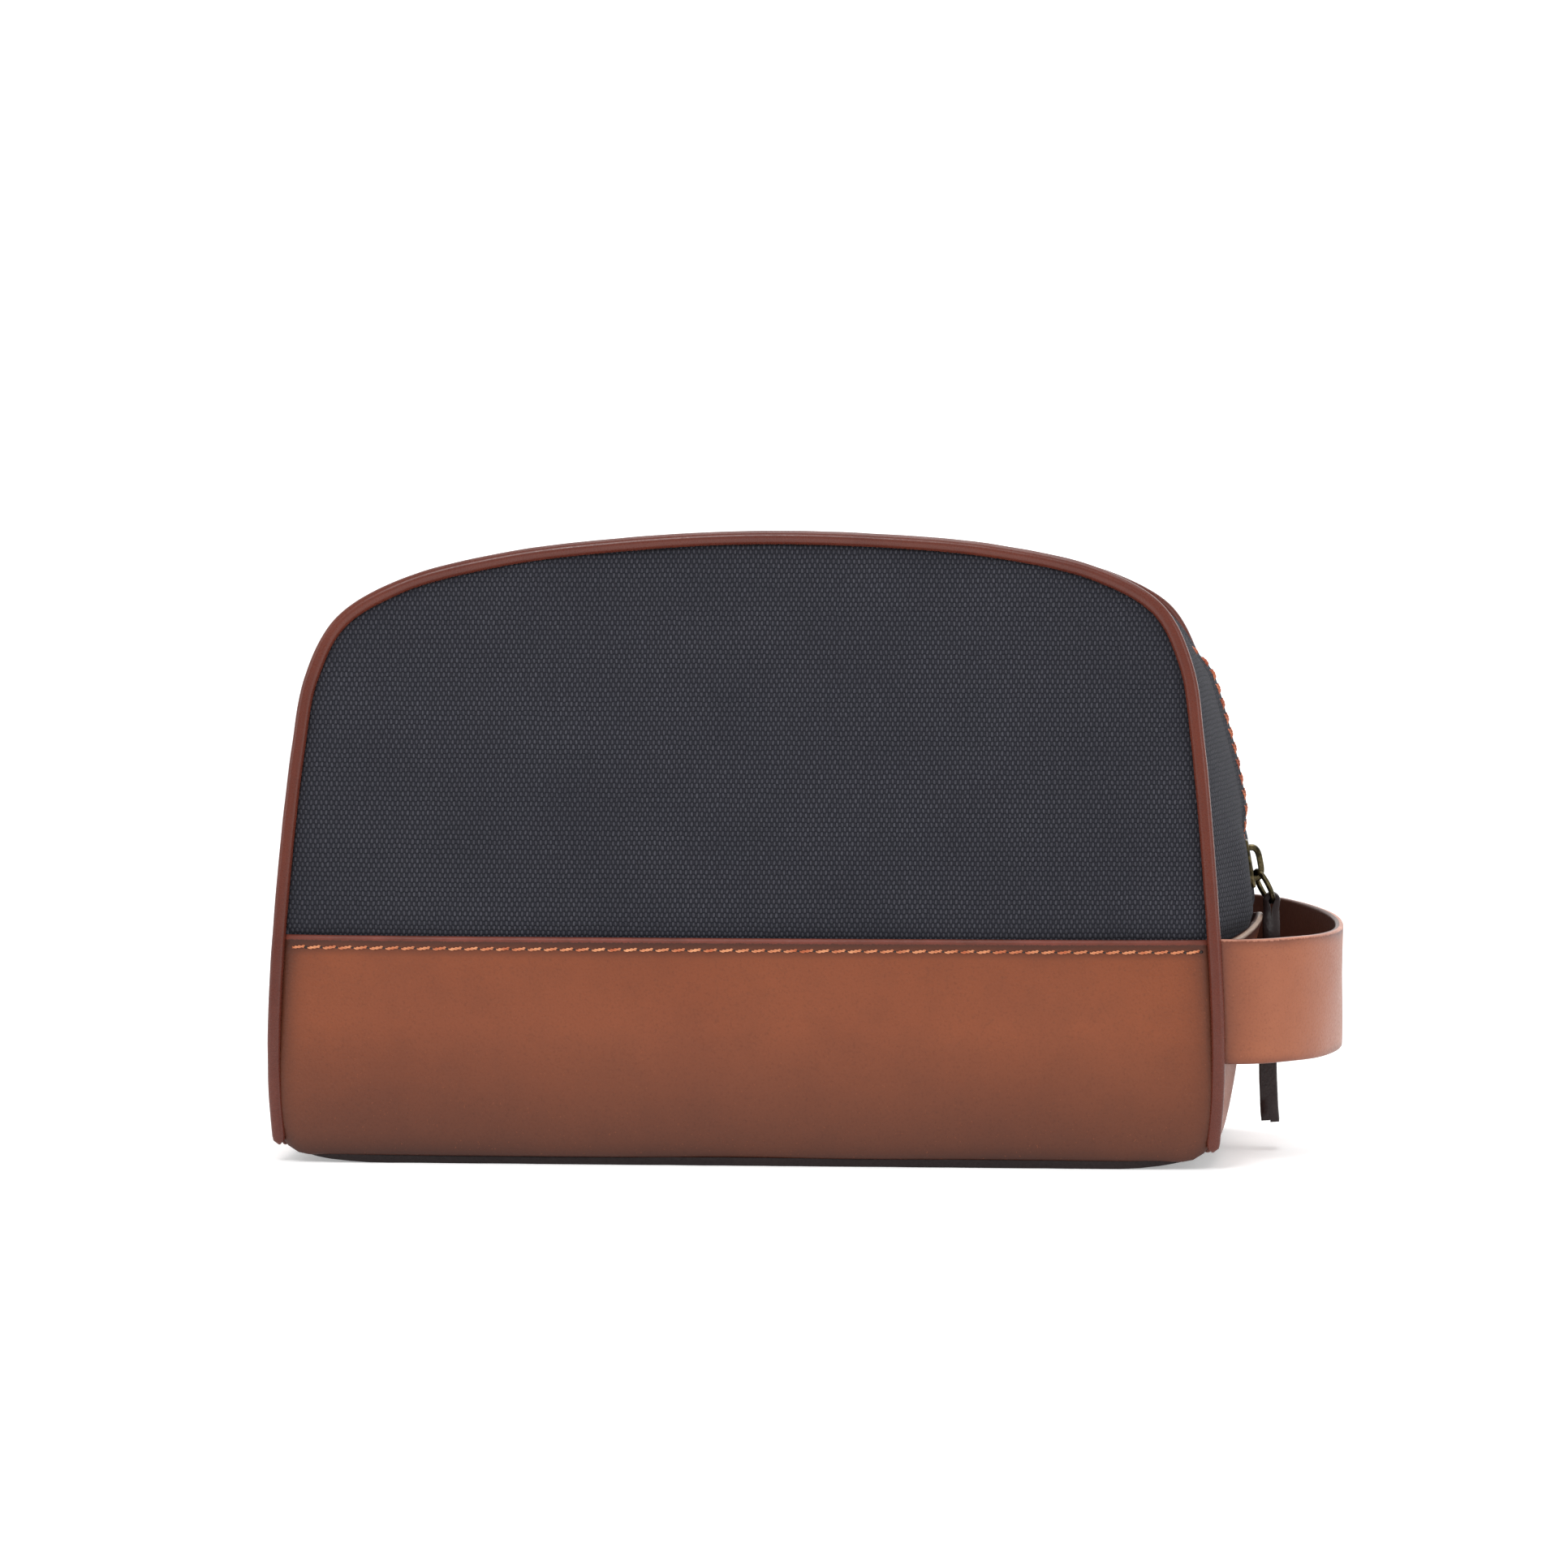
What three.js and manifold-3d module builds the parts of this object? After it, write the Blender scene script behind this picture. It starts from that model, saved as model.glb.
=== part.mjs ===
// Shaving kit bag: canvas over leather, piped seams, a zipped mouth and a leather end handle.
// Millimetres, +Z up. The origin is the centre of the underside, the front faces -Y, and the
// handle end is +X.
import * as THREE from 'three';
import Module from 'manifold-3d';
import { mergeVertices } from 'three/addons/utils/BufferGeometryUtils.js';

const wasm = await Module();
wasm.setup();

// ---------------------------------------------------------------- driving dimensions
const BAG_HEIGHT = 168.1;
const HALF_DEPTH_BASE = 55; // centre line to the piping, at the base
const HALF_DEPTH_TOP = 38; // the same, at the top
const DEPTH_TAPER = 2.2; // how late the sides draw in towards the top
const BACK_DROOP = 2.6; // how much lower the back of the arch stands
const DROOP_START_Z = 105;
const DROOP_FULL_Z = 165;
const TOP_LEAN = 0.018; // the arch stands slightly higher towards the handle
const LEAN_START_Z = 60;
const LEAN_FULL_Z = 140;
const SHOULDER_LEFT_Z = 143; // where the sides of the front panel turn into its top
const SHOULDER_RIGHT_Z = 146;
const GAP = 0.3; // clearance between touching pieces

const PIPING_RADIUS = 1.85;
const PIPING_START_Z = 7;
const CANVAS_THICKNESS = 1.4;
const LEATHER_THICKNESS = 2.1;
const LINING_THICKNESS = 0.6;
const PANEL_CROWN = 4; // how far the front and back stand out at the middle

const MOUTH_Z = 61.3; // the fold that each half of the mouth turns about
const LEATHER_TOP_Z = 60.7; // cut edge of the lower leather
const LEATHER_PROUD = 0.9; // leather surface outside the canvas surface
const LEATHER_BOTTOM_Z = 4;
const END_PANEL_LOW_Z = 5;
const LEATHER_CORNER_RADIUS = 9;
const END_PANEL_TOP_Z = 60.2;

const END_BULGE = 11; // how far the end gusset stands out at its fullest height
const END_BULGE_Z = 62;
const END_BULGE_FOOT = 0.8; // the same, at the base
const END_FOOT_CURVE = 1.6; // how late the end fills out above its foot
const END_BULGE_TOP_Z = 150; // above this height the gusset lies level across
const PLAIN_END_SHARE = 0.6; // fullness of the end with no handle

const SEAM_ALLOWANCE = 2.5; // gusset edge to the piping centre
const ZIP_CHANNEL = 5.5; // half the gap between the folded canvas edges
const TOOTH_INNER = 0.25;
const TOOTH_OUTER = 1.9;
const TOOTH_DROP = 3.4; // teeth below the canvas surface
const TOOTH_THICKNESS = 1.5;
const TAPE_INNER = 2.2;
const TAPE_OUTER = 9;
const TAPE_DROP = 3.1;
const TAPE_THICKNESS = 0.5;
const LINING_TURN = 1.5; // lining edge inside the canvas edge
const GUSSET_LINING_REACH = 0.86; // share of the way from the zip to the seam
const GUSSET_LINING_INNER = 4.2;
const GUSSET_LINING_DROP = 4.1;

const SOLE_HALF_LENGTH = 118;
const SOLE_HALF_DEPTH = 53;
const SOLE_THICKNESS = 3.4;
const SOLE_CORNER_RADIUS = 18;
const SOLE_CHAMFER = 0.8;
const BOARD_THICKNESS = 1.5;
const TUB_HALF_LENGTH = 117;
const TUB_HALF_DEPTH = 49.5;
const TUB_TOP_Z = 58;

const SLIDER_Z = 77;
const SLIDER_TRAVEL = 34;
const SLIDER_LENGTH = 13;
const SLIDER_WIDTH = 8.8;
const PLATE_LOW = -1.2; // heights above the canvas surface
const PLATE_HIGH = -0.1;
const BRIDGE_HIGH = 2.9;
const BRIDGE_LENGTH = 10;
const BRIDGE_WALL = 1.25;
const BRIDGE_END_WALL = 1.45;
const BRIDGE_CORNER = 1.8;
const BRIDGE_WIDTH = 3.6;
const RING_RADIUS = 4.6;
const RING_WIRE_RADIUS = 0.7;
const RING_SLANT = THREE.MathUtils.degToRad(26.6); // ring plane from the vertical
const RING_SEAT_DOWN = 2.4; // ring's pivot below the middle of the slider
const RING_SEAT_HEIGHT = 0.78; // ring's pivot above the canvas surface
const TAB_THICKNESS = 4.3;
const TAB_WIDTH = 11;
const TAB_NECK_WIDTH = 5;
const TAB_NECK_LENGTH = 5;
const TAB_SHOULDER_LENGTH = 9; // from the eye to the full width
const TAB_CORNER = 2;
const TAB_END_Z = 7.8;
const TAB_EYE_RADIUS = 1.35;
const TAB_HEAD_RADIUS = 2.6;
const TAB_EYE_RISE = 0.35; // eye above the ring's lowest point

const HANDLE_START_X = 131;
const HANDLE_NOSE_X = 158.4;
const HANDLE_HALF_DEPTH = 52;
const HANDLE_LOW_Z = 28.8;
const HANDLE_WIDTH = 31.8;
const HANDLE_BACK_RISE = 5; // the back end is sewn in this much higher
const HANDLE_RISE_START = 0.4; // share of the band at which it starts to rise
const HANDLE_THICKNESS = 2.2;

const SIDES = { front: -1, back: 1 };
const BAG_CORE = new THREE.Vector3(0, 0, BAG_HEIGHT / 2);
const SPARE = 1; // how far a cutting solid reaches past what it cuts

// ---------------------------------------------------------------- mesh fineness
const ARCH_STEPS = 44;
const PIPING_STEPS = 48;
const LEG_STEPS = 6;
const BAND_STEPS = 28;
const ROUND_STEPS = 4;
const HEAD_STEPS = 10;
const CANVAS_GRID = { columns: 30, rows: 8 };
const LINING_GRID = { columns: 14, rows: 5 };
const LEATHER_GRID = { columns: 20, rows: 4 };
const END_GRID = { columns: 10, rows: 6 };
const RING_STEPS = { section: 8, round: 20 };

// ---------------------------------------------------------------- materials
function finish(colour, roughness, metalness = 0) {
  return new THREE.MeshStandardMaterial({ color: colour, roughness, metalness });
}

const canvasCloth = finish('#3e404a', 0.95);
const tanLeather = finish('#8d523a', 0.55);
const pipingLeather = finish('#8b4b3a', 0.45);
const handleLeather = finish('#b9735a', 0.5);
const darkLeather = finish('#3c2828', 0.6);
const soleLeather = finish('#302020', 0.7);
const liningCloth = finish('#6b5a48', 0.9);
const fibreBoard = finish('#4a4038', 0.9);
const tapeCloth = finish('#2c2622', 0.9);
const oldBrass = finish('#645a41', 0.4, 1);

// ---------------------------------------------------------------- outline and surfaces
const lerp = THREE.MathUtils.lerp;
const smoothstep = THREE.MathUtils.smoothstep;

function outlinePoint(x, z) {
  return new THREE.Vector3(x, 0, z + TOP_LEAN * x * smoothstep(z, LEAN_START_Z, LEAN_FULL_Z));
}

// Half of the front view, at the outer edge of the piping, from the base to the shoulder and crown.
const HALF_OUTLINE = [
  [125, 4], [127.6, 20], [127, 45], [125, 76], [121.5, 112],
  [118.4, 131], [110.6, 146.5], [94, 156.5], [66, 163.4], [34, 166.8],
];
const leftOutline = HALF_OUTLINE.map(([x, z]) => outlinePoint(-x, z));
const rightOutline = HALF_OUTLINE.map(([x, z]) => outlinePoint(x, z)).reverse();
const outline = new THREE.CatmullRomCurve3(
  [...leftOutline, outlinePoint(0, BAG_HEIGHT), ...rightOutline], false, 'centripetal');
outline.arcLengthDivisions = 600;

// Point of the outline at an arc-length share, moved inwards in the front view.
function rim(share, inset) {
  const point = outline.getPointAt(share);
  const tangent = outline.getTangentAt(share);
  return new THREE.Vector3(point.x + inset * tangent.z, 0, point.z - inset * tangent.x);
}

// Arc-length share where the left (or right) half of the outline reaches a height.
function shareAtHeight(z, onRight) {
  let low = 0;
  let high = 0.5;
  for (let step = 0; step < 40; step += 1) {
    const middle = (low + high) / 2;
    const share = onRight ? 1 - middle : middle;
    if (outline.getPointAt(share).z < z) low = middle;
    else high = middle;
  }
  return onRight ? 1 - low : low;
}

function halfDepth(z) {
  const share = Math.max(z, 0) / BAG_HEIGHT;
  return lerp(HALF_DEPTH_BASE, HALF_DEPTH_TOP, share ** DEPTH_TAPER);
}

// How far the gusset stands out at the zip line, at a height.
function endBulge(z, x) {
  const fullness = x > 0 ? 1 : PLAIN_END_SHARE;
  if (z > END_BULGE_TOP_Z) return 0;
  if (z > END_BULGE_Z) {
    const rise = (z - END_BULGE_Z) / (END_BULGE_TOP_Z - END_BULGE_Z);
    return fullness * END_BULGE * (1 - rise * rise);
  }
  return fullness * (END_BULGE_FOOT + (END_BULGE - END_BULGE_FOOT) * (z / END_BULGE_Z) ** END_FOOT_CURVE);
}

// Point of the gusset at an outline share and a depth, lowered by a drop below the canvas.
function gussetPoint(share, y, drop) {
  const flat = rim(share, PIPING_RADIUS);
  const across = y / halfDepth(flat.z);
  const bulge = endBulge(flat.z, flat.x) * (1 - across * across);
  return rim(share, PIPING_RADIUS + drop - bulge).setY(y);
}

// A closed sheet of even thickness. The surface is its outer side, and the inner side faces the core.
// A nearly flat sheet can be given one direction to be thick in.
function sheet(surface, { columns, rows }, thickness, core = BAG_CORE, inwards = null) {
  const nearby = 1e-3;
  const normalAt = (u, v) => {
    const alongU = surface(Math.min(u + nearby, 1), v).sub(surface(Math.max(u - nearby, 0), v));
    const alongV = surface(u, Math.min(v + nearby, 1)).sub(surface(u, Math.max(v - nearby, 0)));
    return alongU.cross(alongV).normalize();
  };
  const outwards = surface(0.5, 0.5).sub(core);
  const turn = normalAt(0.5, 0.5).dot(outwards) > 0 ? 1 : -1;
  const positions = [];
  for (const depth of [0, thickness]) {
    for (let row = 0; row <= rows; row += 1) {
      for (let column = 0; column <= columns; column += 1) {
        const u = column / columns;
        const v = row / rows;
        const inner = inwards ?? normalAt(u, v).multiplyScalar(-turn);
        const point = surface(u, v).addScaledVector(inner, depth);
        positions.push(point.x, point.y, point.z);
      }
    }
  }
  const layer = (columns + 1) * (rows + 1);
  const faces = [];
  const quad = (a, b, c, d) => {
    if (turn > 0) faces.push(a, b, c, a, c, d);
    else faces.push(a, c, b, a, d, c);
  };
  const at = (column, row) => row * (columns + 1) + column;
  for (let row = 0; row < rows; row += 1) {
    for (let column = 0; column < columns; column += 1) {
      const a = at(column, row);
      const b = at(column + 1, row);
      const c = at(column + 1, row + 1);
      const d = at(column, row + 1);
      quad(a, b, c, d);
      quad(layer + a, layer + d, layer + c, layer + b);
    }
  }
  for (let column = 0; column < columns; column += 1) {
    quad(at(column + 1, 0), at(column, 0), layer + at(column, 0), layer + at(column + 1, 0));
    quad(at(column, rows), at(column + 1, rows), layer + at(column + 1, rows), layer + at(column, rows));
  }
  for (let row = 0; row < rows; row += 1) {
    quad(at(0, row), at(0, row + 1), layer + at(0, row + 1), layer + at(0, row));
    quad(at(columns, row + 1), at(columns, row), layer + at(columns, row), layer + at(columns, row + 1));
  }
  const geometry = new THREE.BufferGeometry();
  geometry.setAttribute('position', new THREE.Float32BufferAttribute(positions, 3));
  geometry.setIndex(faces);
  return geometry;
}

// ---------------------------------------------------------------- joining and cutting
function solidOf(geometry) {
  const plain = geometry.clone();
  plain.deleteAttribute('normal');
  plain.deleteAttribute('uv');
  const merged = mergeVertices(plain, 1e-4);
  return new wasm.Manifold(new wasm.Mesh({
    numProp: 3,
    vertProperties: merged.attributes.position.array,
    triVerts: new Uint32Array(merged.index.array),
  }));
}

function geometryOf(solid) {
  const mesh = solid.getMesh();
  const geometry = new THREE.BufferGeometry();
  geometry.setAttribute('position', new THREE.BufferAttribute(mesh.vertProperties, 3));
  geometry.setIndex(new THREE.BufferAttribute(mesh.triVerts, 1));
  return geometry;
}

// ---------------------------------------------------------------- assembly
const bag = new THREE.Group();

// Lets the back of the arch stand lower than the front.
function droop(geometry) {
  const places = geometry.getAttribute('position');
  for (let i = 0; i < places.count; i += 1) {
    const towardsBack = smoothstep(places.getY(i), -HALF_DEPTH_TOP, HALF_DEPTH_TOP);
    const high = smoothstep(places.getZ(i), DROOP_START_Z, DROOP_FULL_Z);
    places.setZ(i, places.getZ(i) - BACK_DROOP * towardsBack * high);
  }
}

function addPiece(name, geometry, material) {
  droop(geometry);
  const mesh = new THREE.Mesh(geometry, material);
  mesh.name = name;
  bag.add(mesh);
  return mesh;
}

function roundedRectangle(halfLength, halfDepthOfPlate, radius) {
  const shape = new THREE.Shape();
  shape.moveTo(halfLength, -halfDepthOfPlate + radius);
  shape.absarc(halfLength - radius, halfDepthOfPlate - radius, radius, 0, Math.PI / 2);
  shape.absarc(-halfLength + radius, halfDepthOfPlate - radius, radius, Math.PI / 2, Math.PI);
  shape.absarc(-halfLength + radius, -halfDepthOfPlate + radius, radius, Math.PI, 1.5 * Math.PI);
  shape.absarc(halfLength - radius, -halfDepthOfPlate + radius, radius, 1.5 * Math.PI, 2 * Math.PI);
  return shape;
}

// ---- sole, stiffening board and the lower lining tub
function addBase() {
  const sole = new THREE.ExtrudeGeometry(
    roundedRectangle(SOLE_HALF_LENGTH - SOLE_CHAMFER, SOLE_HALF_DEPTH - SOLE_CHAMFER, SOLE_CORNER_RADIUS), {
      depth: SOLE_THICKNESS - 2 * SOLE_CHAMFER,
      bevelThickness: SOLE_CHAMFER,
      bevelSize: SOLE_CHAMFER,
      bevelSegments: 1,
      curveSegments: ROUND_STEPS,
    });
  sole.translate(0, 0, SOLE_CHAMFER);
  addPiece('sole', sole, soleLeather);

  const board = new THREE.ExtrudeGeometry(
    roundedRectangle(TUB_HALF_LENGTH, TUB_HALF_DEPTH, SOLE_CORNER_RADIUS),
    { depth: BOARD_THICKNESS, bevelEnabled: false, curveSegments: ROUND_STEPS });
  board.translate(0, 0, SOLE_THICKNESS + GAP);
  addPiece('base_board', board, fibreBoard);

  const floorZ = SOLE_THICKNESS + BOARD_THICKNESS + 2 * GAP;
  const tubOuter = new THREE.ExtrudeGeometry(
    roundedRectangle(TUB_HALF_LENGTH, TUB_HALF_DEPTH, SOLE_CORNER_RADIUS),
    { depth: TUB_TOP_Z - floorZ, bevelEnabled: false, curveSegments: ROUND_STEPS });
  const tubInner = new THREE.ExtrudeGeometry(
    roundedRectangle(
      TUB_HALF_LENGTH - LINING_THICKNESS, TUB_HALF_DEPTH - LINING_THICKNESS,
      SOLE_CORNER_RADIUS - LINING_THICKNESS),
    { depth: TUB_TOP_Z, bevelEnabled: false, curveSegments: ROUND_STEPS });
  tubInner.translate(0, 0, LINING_THICKNESS);
  const tub = geometryOf(solidOf(tubOuter).subtract(solidOf(tubInner)));
  tub.translate(0, 0, floorZ);
  addPiece('lower_lining', tub, liningCloth);
}

// A four-sided patch filled between its edges, with its depth given by a crown.
function panelSurface(edges, side, crown, proud) {
  const corners = [edges.bottom(0), edges.bottom(1), edges.top(0), edges.top(1)];
  return (u, v) => {
    const point = new THREE.Vector3();
    point.addScaledVector(edges.bottom(u), 1 - v);
    point.addScaledVector(edges.top(u), v);
    point.addScaledVector(edges.left(v), 1 - u);
    point.addScaledVector(edges.right(v), u);
    point.addScaledVector(corners[0], -(1 - u) * (1 - v));
    point.addScaledVector(corners[1], -u * (1 - v));
    point.addScaledVector(corners[2], -(1 - u) * v);
    point.addScaledVector(corners[3], -u * v);
    const across = (2 * u - 1) ** 4;
    const depth = halfDepth(point.z) + proud + PANEL_CROWN * (1 - across) * crown(v);
    return point.setY(side * depth);
  };
}

function canvasEdges(inset, lowZ) {
  const shoulderLeft = shareAtHeight(SHOULDER_LEFT_Z, false);
  const shoulderRight = shareAtHeight(SHOULDER_RIGHT_Z, true);
  const startLeft = shareAtHeight(lowZ, false);
  const startRight = shareAtHeight(lowZ, true);
  const left = rim(startLeft, inset).setZ(lowZ);
  const right = rim(startRight, inset).setZ(lowZ);
  const along = (from, to) => (t) => rim(lerp(from, to, t), inset);
  const leftEdge = along(startLeft, shoulderLeft);
  const rightEdge = along(startRight, shoulderRight);
  return {
    bottom: (u) => left.clone().lerp(right, u),
    top: along(shoulderLeft, shoulderRight),
    left: (v) => (v === 0 ? left.clone() : leftEdge(v)),
    right: (v) => (v === 0 ? right.clone() : rightEdge(v)),
  };
}

function leatherEdges(inset) {
  const lowZ = LEATHER_BOTTOM_Z + LEATHER_CORNER_RADIUS;
  const lowLeft = shareAtHeight(lowZ, false);
  const lowRight = shareAtHeight(lowZ, true);
  const highLeft = shareAtHeight(LEATHER_TOP_Z, false);
  const highRight = shareAtHeight(LEATHER_TOP_Z, true);
  const halfWidth = rim(lowRight, inset).x;
  const straight = halfWidth - LEATHER_CORNER_RADIUS;
  const bottom = (u) => {
    const x = lerp(-halfWidth, halfWidth, u);
    const past = Math.max(Math.abs(x) - straight, 0) / LEATHER_CORNER_RADIUS;
    return new THREE.Vector3(x, 0, lowZ - LEATHER_CORNER_RADIUS * Math.sqrt(Math.max(1 - past * past, 0)));
  };
  const topLeft = rim(highLeft, inset).setZ(LEATHER_TOP_Z);
  const topRight = rim(highRight, inset).setZ(LEATHER_TOP_Z);
  return {
    bottom,
    top: (u) => topLeft.clone().lerp(topRight, u),
    left: (v) => bottom(0).lerp(topLeft, v),
    right: (v) => bottom(1).lerp(topRight, v),
  };
}

const PANEL_INSET = 2 * PIPING_RADIUS + 2 * GAP;

function addLeatherPanel(sideName) {
  const surface = panelSurface(
    leatherEdges(PANEL_INSET), SIDES[sideName], (v) => 1 - (1 - v) ** 2, LEATHER_PROUD);
  addPiece(`${sideName}_leather_panel`, sheet(surface, LEATHER_GRID, LEATHER_THICKNESS), tanLeather);
}

function addEndPanel(name, onRight) {
  const low = shareAtHeight(END_PANEL_LOW_Z, onRight);
  const high = shareAtHeight(END_PANEL_TOP_Z, onRight);
  const surface = (u, v) => {
    const share = lerp(low, high, v);
    const reach = halfDepth(outline.getPointAt(share).z) - SEAM_ALLOWANCE;
    return gussetPoint(share, lerp(-reach, reach, u), -LEATHER_PROUD);
  };
  addPiece(name, sheet(surface, END_GRID, LEATHER_THICKNESS), tanLeather);
}

// A welt along the outline between two shares.
function piping(side, from, to, steps) {
  const points = [];
  for (let step = 0; step <= steps; step += 1) {
    const point = rim(lerp(from, to, step / steps), PIPING_RADIUS);
    points.push(point.setY(side * halfDepth(point.z)));
  }
  const section = new THREE.Shape();
  section.absarc(0, 0, PIPING_RADIUS, 0, 2 * Math.PI);
  return new THREE.ExtrudeGeometry(section, {
    steps,
    curveSegments: ROUND_STEPS,
    extrudePath: new THREE.CatmullRomCurve3(points),
  });
}

function addPipingLegs(sideName) {
  const side = SIDES[sideName];
  for (const [end, onRight] of [['left', false], ['right', true]]) {
    const low = shareAtHeight(PIPING_START_Z, onRight);
    const high = shareAtHeight(MOUTH_Z - 2 * GAP, onRight);
    addPiece(`${sideName}_${end}_piping_leg`, piping(side, low, high, LEG_STEPS), pipingLeather);
  }
}

// A strip of the gusset on one side of the zip, running over the whole arch. The reach gives its
// outer edge from the depth of the seam.
function gussetStrip(side, reach, inner, drop, thickness, rows) {
  const from = shareAtHeight(MOUTH_Z + GAP, false);
  const to = shareAtHeight(MOUTH_Z + GAP, true);
  const surface = (u, v) => {
    const share = lerp(from, to, u);
    const seam = halfDepth(outline.getPointAt(share).z) - SEAM_ALLOWANCE;
    return gussetPoint(share, side * lerp(reach(seam), inner, v), drop);
  };
  return sheet(surface, { columns: ARCH_STEPS, rows }, thickness);
}

// ---- one half of the mouth: canvas panel, gusset, zip tape and teeth, piping and lining
function addMouthHalf(sideName) {
  const side = SIDES[sideName];
  const crown = (v) => 1 - v * v;
  const panel = panelSurface(canvasEdges(PANEL_INSET, MOUTH_Z + GAP), side, crown, 0);
  const inwards = new THREE.Vector3(0, -side, 0);
  addPiece(
    `${sideName}_canvas_panel`,
    sheet(panel, CANVAS_GRID, CANVAS_THICKNESS, BAG_CORE, inwards),
    canvasCloth);

  const liningDrop = CANVAS_THICKNESS + GAP;
  const lining = panelSurface(canvasEdges(PANEL_INSET + LINING_TURN, MOUTH_Z + 2 * GAP), side, crown, -liningDrop);
  addPiece(
    `${sideName}_upper_lining`,
    sheet(lining, LINING_GRID, LINING_THICKNESS, BAG_CORE, inwards),
    liningCloth);

  addPiece(
    `${sideName}_canvas_gusset`,
    gussetStrip(side, (seam) => seam, ZIP_CHANNEL, 0, CANVAS_THICKNESS, 3), canvasCloth);
  addPiece(
    `${sideName}_zip_tape`,
    gussetStrip(side, () => TAPE_OUTER, TAPE_INNER, TAPE_DROP, TAPE_THICKNESS, 1), tapeCloth);
  addPiece(
    `${sideName}_zip_teeth`,
    gussetStrip(side, () => TOOTH_OUTER, TOOTH_INNER, TOOTH_DROP, TOOTH_THICKNESS, 1), oldBrass);
  addPiece(
    `${sideName}_gusset_lining`,
    gussetStrip(
      side, (seam) => GUSSET_LINING_REACH * seam, GUSSET_LINING_INNER, GUSSET_LINING_DROP,
      LINING_THICKNESS, 1),
    liningCloth);

  const from = shareAtHeight(MOUTH_Z + 2 * GAP, false);
  const to = shareAtHeight(MOUTH_Z + 2 * GAP, true);
  addPiece(`${sideName}_piping_arch`, piping(side, from, to, PIPING_STEPS), pipingLeather);
}

// ---- zip slider, its ring and its leather pull
const sliderPlace = gussetPoint(shareAtHeight(SLIDER_Z, true), 0, 0);
const travelEnd = gussetPoint(shareAtHeight(SLIDER_Z + SLIDER_TRAVEL, true), 0, 0);
const alongZip = travelEnd.clone().sub(sliderPlace).normalize();
const awayFromZip = new THREE.Vector3(alongZip.z, 0, -alongZip.x);

// Puts a solid made along X (up the zip) and Y (away from the bag) at the slider's place.
function placeOnZip(geometry) {
  const across = alongZip.clone().cross(awayFromZip);
  const basis = new THREE.Matrix4().makeBasis(alongZip, awayFromZip, across);
  return geometry.applyMatrix4(basis.setPosition(sliderPlace));
}

function addSlider() {
  const plateShape = new THREE.Shape();
  const half = SLIDER_LENGTH / 2;
  plateShape.moveTo(-half, PLATE_LOW);
  plateShape.lineTo(half, PLATE_LOW);
  plateShape.lineTo(half, PLATE_HIGH);
  plateShape.lineTo(-half, PLATE_HIGH);
  const plate = new THREE.ExtrudeGeometry(plateShape, { depth: SLIDER_WIDTH, bevelEnabled: false });
  plate.translate(0, 0, -SLIDER_WIDTH / 2);

  const corner = BRIDGE_CORNER;
  const foot = BRIDGE_LENGTH / 2;
  const bridgeShape = new THREE.Shape();
  bridgeShape.moveTo(-foot, PLATE_LOW / 2);
  bridgeShape.lineTo(foot, PLATE_LOW / 2);
  bridgeShape.absarc(foot - corner, BRIDGE_HIGH - corner, corner, 0, Math.PI / 2);
  bridgeShape.absarc(-foot + corner, BRIDGE_HIGH - corner, corner, Math.PI / 2, Math.PI);
  const eye = new THREE.Path();
  const eyeEnd = foot - BRIDGE_END_WALL;
  eye.moveTo(-eyeEnd, PLATE_HIGH);
  eye.lineTo(-eyeEnd, BRIDGE_HIGH - BRIDGE_WALL);
  eye.lineTo(eyeEnd, BRIDGE_HIGH - BRIDGE_WALL);
  eye.lineTo(eyeEnd, PLATE_HIGH);
  bridgeShape.holes.push(eye);
  const bridge = new THREE.ExtrudeGeometry(
    bridgeShape, { depth: BRIDGE_WIDTH, bevelEnabled: false, curveSegments: ROUND_STEPS });
  bridge.translate(0, 0, -BRIDGE_WIDTH / 2);
  addPiece('zip_slider', placeOnZip(geometryOf(solidOf(plate).add(solidOf(bridge)))), oldBrass);
}

// The ring hangs in the lower end of the slider's eye.
const ringPivot = sliderPlace.clone()
  .addScaledVector(alongZip, -RING_SEAT_DOWN)
  .addScaledVector(awayFromZip, RING_SEAT_HEIGHT);
const ringDown = new THREE.Vector3(Math.sin(RING_SLANT), 0, -Math.cos(RING_SLANT));
const ringBottom = ringPivot.clone().addScaledVector(ringDown, 2 * RING_RADIUS);

function addRing() {
  const ring = new THREE.TorusGeometry(
    RING_RADIUS, RING_WIRE_RADIUS, RING_STEPS.section, RING_STEPS.round);
  const across = new THREE.Vector3(0, 1, 0);
  const basis = new THREE.Matrix4().makeBasis(ringDown, across, ringDown.clone().cross(across));
  const centre = ringPivot.clone().addScaledVector(ringDown, RING_RADIUS);
  addPiece('zip_ring', ring.applyMatrix4(basis.setPosition(centre)), oldBrass);
}

// The eye of the tab sits slightly above the ring's lowest point, where the wire curves upwards.
const tabEye = ringBottom.clone().addScaledVector(ringDown, -TAB_EYE_RISE);

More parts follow.
